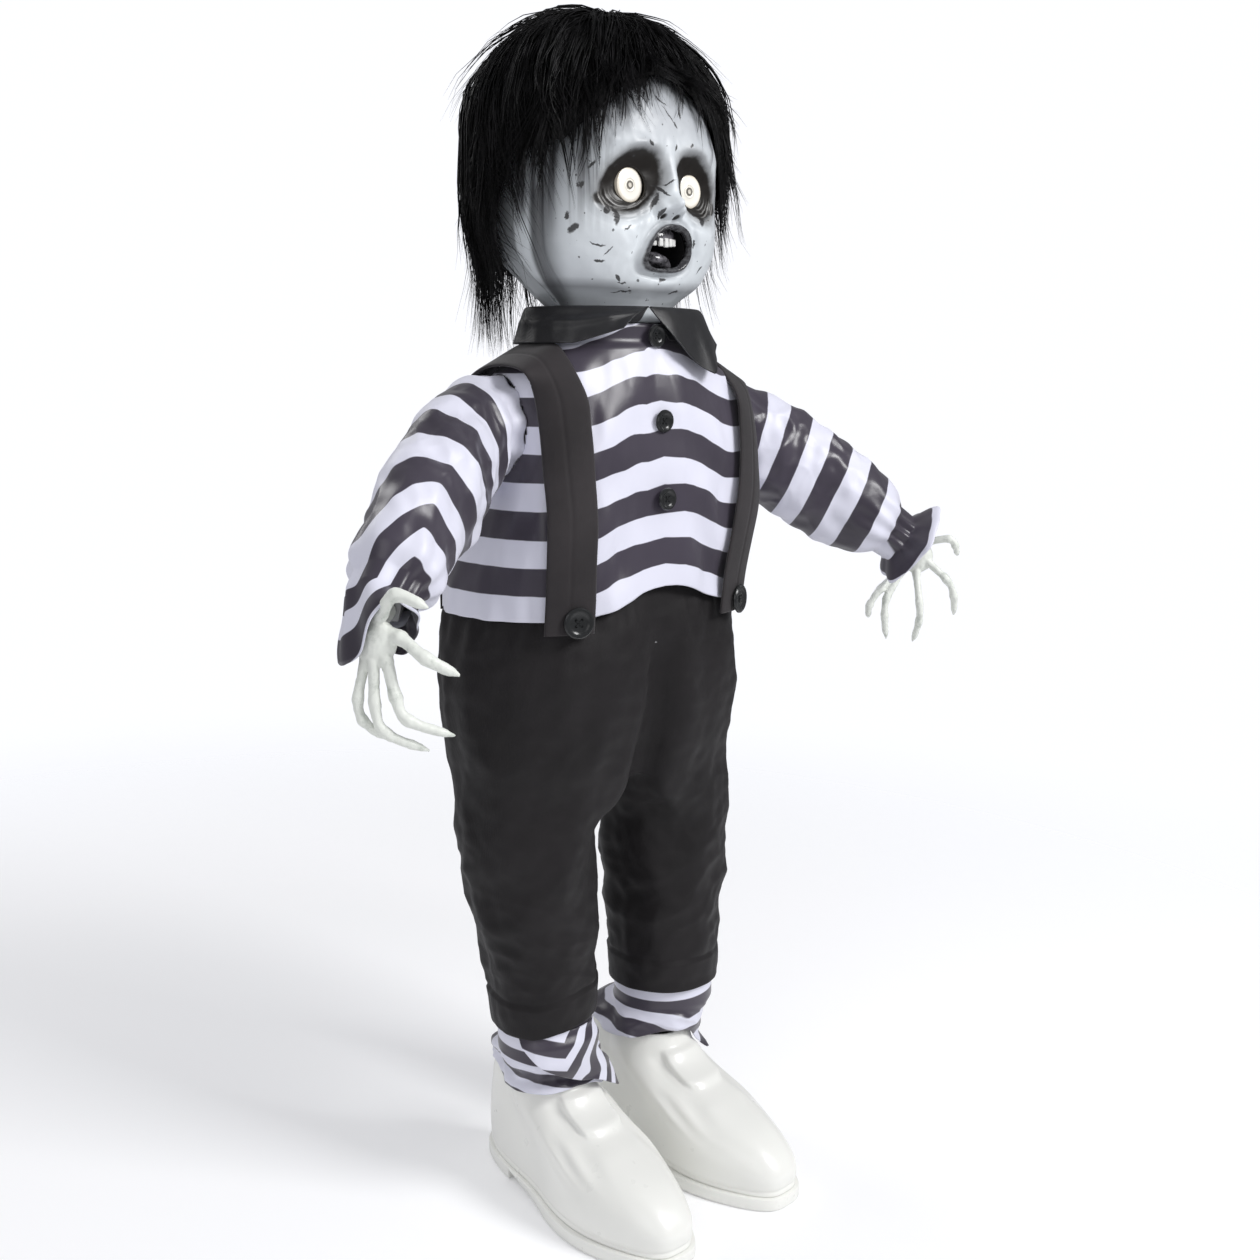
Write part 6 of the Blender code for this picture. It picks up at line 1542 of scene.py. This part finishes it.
def wet_flesh():
    f = Finish("tongue_wet", Roughness=0.20, Coat_Weight=0.5)
    at = f.place()
    f.set(Base_Color=f.mix(f.noise(at, 190.0, 3.0).step(0.35, 0.65), srgb(40, 39, 42), srgb(112, 110, 115)))
    f.bump(f.noise(at, 420.0, 3.0), 0.35, 0.0006)
    return f.material


WET_FLESH = wet_flesh()


def make_tongue():
    bm = bmesh.new()
    bmesh.ops.create_uvsphere(bm, u_segments=48, v_segments=28, radius=1.0)
    for v in bm.verts:
        x, y, z = v.co
        lump = 1 + 0.10 * rumple((x, y, z), 0.45, 2.0) - 0.22 * hill(x, 0.1, 0.16) * max(0.0, z)
        v.co = Vector((x * 0.0132, y * 0.0080, z * 0.0058 * lump + 0.0022 * (1 - x * x) - 0.0022 * x))
    bmesh.ops.translate(bm, vec=(-0.0020, MOUTH_FRONT + 0.0105, 0.7318), verts=bm.verts)
    dress(from_bmesh("tongue_skin", bm), WET_FLESH, "head", "tongue_dark", "tongue")


def make_gum():
    bm = bmesh.new()
    bmesh.ops.create_grid(bm, x_segments=30, y_segments=8, size=0.5)
    for v in bm.verts:
        x, t = v.co.x * 0.0300, v.co.y + 0.5
        v.co = Vector((x, MOUTH_FRONT + 0.0030 + BEND * x * x + 0.0022 * t * t, 0.7470 + 0.0110 * t))
    gum = thick(from_bmesh("gum", bm), 0.0016, 0.0)
    dress(gum, WET_FLESH, "head", "tongue_dark")


make_teeth()
make_gum()
make_tongue()
print("mouth dressed")

# %% [markdown]
# ## Hair
# The wig is a dark fur cap with locks over it. A lock is a bundle of strands that share a route down the
# head. Each strand is a thin tapered tube from a curve: four sides and eight points, because there are
# thousands.

# %% Wig cap
WIG_RISE = 0.0245
WIG_DEG_NEAR = (0, 16, 34, 52, 68, 87, 96, 107, 121, 180)
WIG_DEG_FAR = (0, 16, 34, 52, 68, 86, 94, 106, 120, 180)
WIG_NEAR = (0.866, 0.835, 0.731, 0.600, 0.540, 0.530, 0.163, 0.090, 0.059, 0.039)
WIG_FAR = (0.866, 0.835, 0.721, 0.566, 0.421, 0.318, 0.163, 0.090, 0.059, 0.039)
WIG_FULL = (0.012, 0.010, 0.009, 0.010, 0.012, 0.014, 0.016, 0.019, 0.022, 0.024)
CROWN_Z = head_z(1.0)


def between(x, xs, ys):
    k = max(0, min(len(xs) - 2, sum(x > v for v in xs) - 1))
    return ys[k] + (ys[k + 1] - ys[k]) * (x - xs[k]) / (xs[k + 1] - xs[k])


def wig_edge(a):
    steps, heights = (WIG_DEG_NEAR, WIG_NEAR) if a < 0 else (WIG_DEG_FAR, WIG_FAR)
    return head_z(between(abs(math.degrees(a)), steps, heights))


def wig_point(a, t, lift, edge):
    """A place in the hair. t runs from the crown to the edge, lift from the scalp (0) to the outside (1)."""
    z = CROWN_Z - (CROWN_Z - edge) * min(t, 1.3) ** 1.35
    flare = 0.0055 if 64 < abs(math.degrees(a)) < 104 else 0.0
    skin = head_point(max(z, head_z(0.23)), a, -0.0028 - flare)
    skin.z = z + 0.0016 * max(0.0, 1 - 2.2 * t)
    flat = Vector((skin.x, skin.y - 0.018, 0.0)).normalized()
    crest = 1 + 0.45 * hill(z, head_z(0.85), 0.030)
    full = between(abs(math.degrees(a)), WIG_DEG_FAR, WIG_FULL) * crest * (1 - 0.5 * min(t, 1.0) ** 4)
    full = max(0.004, full) * math.sin(math.pi / 2 * min(1.0, 0.25 + 1.9 * t))
    rise = WIG_RISE * math.cos(math.pi / 2 * min(1.0, 1.9 * t))
    return placed(skin + (flat * full + Vector((0, 0, rise))) * lift)


def fur_black():
    f = Finish("wig_fur", Specular_IOR_Level=0.25)
    at = f.place()
    shade = f.noise(at, 120.0, 3.0, 0.6, stretch=(1, 1, 0.25))
    # The lighter grey streaks in the black are partly strand colour and partly painted highlights.
    colour = f.mix(shade.step(0.40, 0.75), srgb(3, 3, 4), srgb(30, 29, 31))
    f.set(Base_Color=colour, Roughness=0.38 + shade * 0.2)
    f.bump(f.noise(at, 420.0, 3.0, 0.6, stretch=(1, 1, 0.08)), 0.8, 0.0010)
    return f.material


FUR = fur_black()


def make_cap():
    def place(u, v):
        a = -math.pi + 2 * math.pi * u
        low = 0.87 + 0.035 * rumple((math.cos(a), math.sin(a), 0.0), 0.16, 2.0)
        p = wig_point(a, 0.002 + low * v, 0.55 + 0.27 * max(0.0, 1 - 2.6 * v), wig_edge(a))
        comb = 0.0012 * rumple((a * 0.08, 0.0, v * 0.02), 0.0045, 1.0)
        return p + outward(p) * comb, (u, v, 0.0)

    cap = wrapped("wig_cap", 200, 60, place, flip=True)
    with editing(cap) as bm:
        top = [e for e in bm.edges if e.is_boundary and e.verts[0].co.z > head_z(0.97)]
        bmesh.ops.holes_fill(bm, edges=top, sides=0)
        bmesh.ops.recalc_face_normals(bm, faces=bm.faces)
    thick(cap, 0.0015)
    dress(cap, FUR, "head", "wig_black", "wig")
    print("cap", len(cap.data.polygons))


make_cap()

# %% Locks of hair
STRAND_POINTS = 8


def lock_routes(rng, a, t_start, t_end, lift, count, spread, droop, wild):
    """Strands of one lock: routes that close up towards the tip. A negative t crosses the crown."""
    routes = []
    bend, sway = rng.gauss(0, 0.13) * wild, rng.uniform(0, 6.28)
    kick = rng.random() ** 3 * 0.012 * wild
    edge = wig_edge(a)
    for _ in range(count):
        side, depth = rng.gauss(0, 1), rng.random()
        end = t_end * rng.uniform(0.80, 1.06)
        stray = rng.random() ** 4 * 0.008
        route = []
        for k in range(STRAND_POINTS):
            s = k / (STRAND_POINTS - 1)
            t = t_start + (end - t_start) * s
            azimuth = a + bend * s * s + side * spread * (1 - 0.70 * s)
            azimuth += 0.03 * math.sin(4 * s + sway + side * 0.6) + (math.pi if t < 0 else 0.0)
            azimuth = (azimuth + math.pi) % (2 * math.pi) - math.pi
            height = lift * (0.55 + 0.55 * depth) + 0.10 * math.sin(math.pi * s) * depth
            p = wig_point(azimuth, max(0.02, min(abs(t), 1.05)), height, edge)
            p.z -= max(0.0, t - 1.0) * droop
            out = outward(p)
            at = (p.x, p.y, p.z * 0.5)
            loose = Vector((rumple(at, 0.020, 3.0), rumple(at, 0.020, 9.0), 0.5 * rumple(at, 0.018, 15.0)))
            route.append(p + loose * (0.0045 * wild * s) + out * ((kick + stray) * s ** 2.5))
        routes.append(route)
    return routes


def strands_mesh(name, routes, rng):
    data = bpy.data.curves.new(name, "CURVE")
    data.dimensions = "3D"
    data.bevel_depth = 1.0
    data.bevel_resolution = 0
    data.use_fill_caps = True
    for route in routes:
        spline = data.splines.new("POLY")
        spline.points.add(len(route) - 1)
        wide = rng.uniform(0.00034, 0.00058)
        for k, p in enumerate(route):
            s = k / (len(route) - 1)
            belly = 0.75 + 0.45 * math.sin(math.pi * min(1.0, s * 1.3))
            spline.points[k].co = (*p, 1.0)
            spline.points[k].radius = wide * belly * (1 - 0.93 * s ** 2.2)
    source = bpy.data.objects.new(name + "_curve", data)
    bpy.context.scene.collection.objects.link(source)
    bpy.context.view_layer.update()
    me = bpy.data.meshes.new_from_object(source.evaluated_get(bpy.context.evaluated_depsgraph_get()))
    bpy.data.objects.remove(source, do_unlink=True)
    dress(link_mesh(name, me), FUR, "head", "wig_black", "wig")
    me.calc_loop_triangles()
    print(name, len(routes), "strands", len(me.loop_triangles), "triangles")


def anywhere(rng):
    return rng.uniform(-math.pi, math.pi)


def low_and_behind(rng):
    return rng.choice((-1, 1)) * math.radians(rng.triangular(60, 180, 115))


def over_the_face(rng):
    return math.radians(rng.choice((rng.uniform(-80, -18), rng.uniform(-30, 66))))


# Short tufts across the crown, tufts that start at it, long locks down to the edge, an under layer with wisps
# at the nape and beside the face, and thin feathers over forehead, temples and cheek. Each row holds the
# piece, the number of locks, the direction, the ranges of start, end and lift, then the strands, the spread,
# the droop and the wildness.
LOCKS = (
    ("hair_crown", 60, anywhere, (-0.05, -0.22), (0.25, 0.50), (0.70, 0.95), 12, 0.22, 0.0, 1.2),
    ("hair_crown", 150, anywhere, (0.03, 0.30), (0.55, 0.95), (0.62, 0.95), 14, 0.075, 0.0, 1.3),
    ("hair_sides", 165, anywhere, (0.15, 0.45), (0.90, 1.12), (0.55, 0.95), 14, 0.050, 0.10, 1.2),
    ("hair_low", 110, low_and_behind, (0.40, 0.60), (0.88, 1.18), (0.35, 0.95), 12, 0.042, 0.13, 1.3),
    ("hair_low", 70, over_the_face, (0.45, 0.70), (1.00, 1.30), (0.25, 0.60), 8, 0.034, 0.10, 0.8),
)
LONGER_BEHIND = 0.14                                # how much further the long locks reach at the back


def make_hair():
    rng = random.Random(31)
    groups = {}
    for piece, locks, direction, starts, ends, lifts, *manner in LOCKS:
        for _ in range(locks):
            a = direction(rng)
            start = rng.uniform(*starts)
            more = LONGER_BEHIND * (piece == "hair_sides" and abs(a) > 2.0)
            end = rng.uniform(ends[0], ends[1] + more)
            lift = rng.uniform(*lifts)
            groups.setdefault(piece, []).extend(lock_routes(rng, a, start, end, lift, *manner))
    for name, routes in groups.items():
        strands_mesh(name, routes, rng)


make_hair()

# %% [markdown]
# ## Buttons and inner parts
# The buttons have a raised rim, a dished middle and four sewn holes. The inner parts keep their packed form
# and get a plain finish each.

# %% Buttons
SHIRT_BUTTON_R, BRACE_BUTTON_R, BUTTON_HALF = 0.0085, 0.0115, 0.0015
# Shares of the radius and of the half thickness, from the dished middle over the rim to the flat back
BUTTON_PROFILE = ((0.0, 0.1), (0.52, 0.1), (0.64, 0.55), (0.74, 1.0), (0.90, 0.95), (0.985, 0.4), (1.0, -0.3),
                  (0.9, -1.0), (0.0, -1.0))


def make_button(node, radius):
    low, high = (Vector(p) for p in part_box(node))
    centre = (low + high) / 2
    profile = [(radius * share, BUTTON_HALF * height) for share, height in BUTTON_PROFILE]
    button = turned(node + "_dish", profile, (0, 0, 0), 48)
    hole_at, hole = radius * 0.19, radius * 0.085
    for x in (-hole_at, hole_at):
        for z in (-hole_at, hole_at):
            hole_through(button, circle_outline(x, z, hole, 16), -0.004, 0.004)
    out = centre - Vector((0, SHIFT_Y, 0))
    yaw = math.atan2(out.x * 0.35, -out.y) if "brace" in node else 0.0
    tilt = (high.y - low.y - 2 * BUTTON_HALF) / (2 * radius)
    lean = math.asin(max(-0.3, min(0.3, tilt))) if "shirt" in node else 0.0
    turn = Matrix.Rotation(yaw, 4, "Z") @ Matrix.Rotation(lean, 4, "X")
    with editing(button) as bm:
        for degrees in (45, 135):
            thread = bmesh.ops.create_cube(bm, size=2.0)["verts"]
            around = Matrix.Rotation(math.radians(degrees), 3, "Y")
            bmesh.ops.scale(bm, vec=(radius * 0.27, 0.00035, radius * 0.045), verts=thread)
            bmesh.ops.rotate(bm, cent=(0, 0, 0), matrix=around, verts=thread)
            bmesh.ops.translate(bm, vec=(0, -BUTTON_HALF * 0.25, 0), verts=thread)
        bmesh.ops.transform(bm, matrix=Matrix.Translation(centre) @ turn, verts=bm.verts)
    button.data.shade_smooth()
    button.data.set_sharp_from_angle(angle=math.radians(35))
    dress(button, GLOSS_BLACK, "torso", "button_black", node)


for number in (1, 2, 3):
    make_button(f"shirt_button_{number}", SHIRT_BUTTON_R)
for _, word in SIDES:
    make_button(f"brace_button_{word}", BRACE_BUTTON_R)
print("buttons made")

# %% Finishes of the inner parts
BACK_VINYL = worn_plastic("back_vinyl", srgb(205, 210, 214), 0.45)
INNER_FINISHES = {
    GREY_PLASTIC: ("chest_shell_front", "chest_shell_back", "hip_plate", "neck_plate", "head_gear",
                   "arm_core_left", "arm_core_right", "eye_lamp_left", "eye_lamp_right",
                   "ankle_socket_left", "ankle_socket_right"),
    BLACK_PLASTIC: ("battery_box", "battery_door", "power_switch", "speaker"),
    STEEL: ("spine_bracket", "shoulder_bar", "neck_shaft", "head_motor", "leg_tube_left", "leg_tube_right"),
    BRASS: ("motor_pinion", "neck_bushing"),
    BOARD_GREEN: ("circuit_board",),
    CELL_WRAP: ("battery_cell_1", "battery_cell_2", "battery_cell_3"),
    RED_PLASTIC: ("try_me_button",),
    LINING: ("mouth_liner",),
    BACK_VINYL: ("head_back_shell",),
}
for finish, names in INNER_FINISHES.items():
    for name in names:
        inner = bpy.data.objects[name]
        inner.data.materials.clear()
        inner.data.materials.append(finish)
print("inner parts dressed")
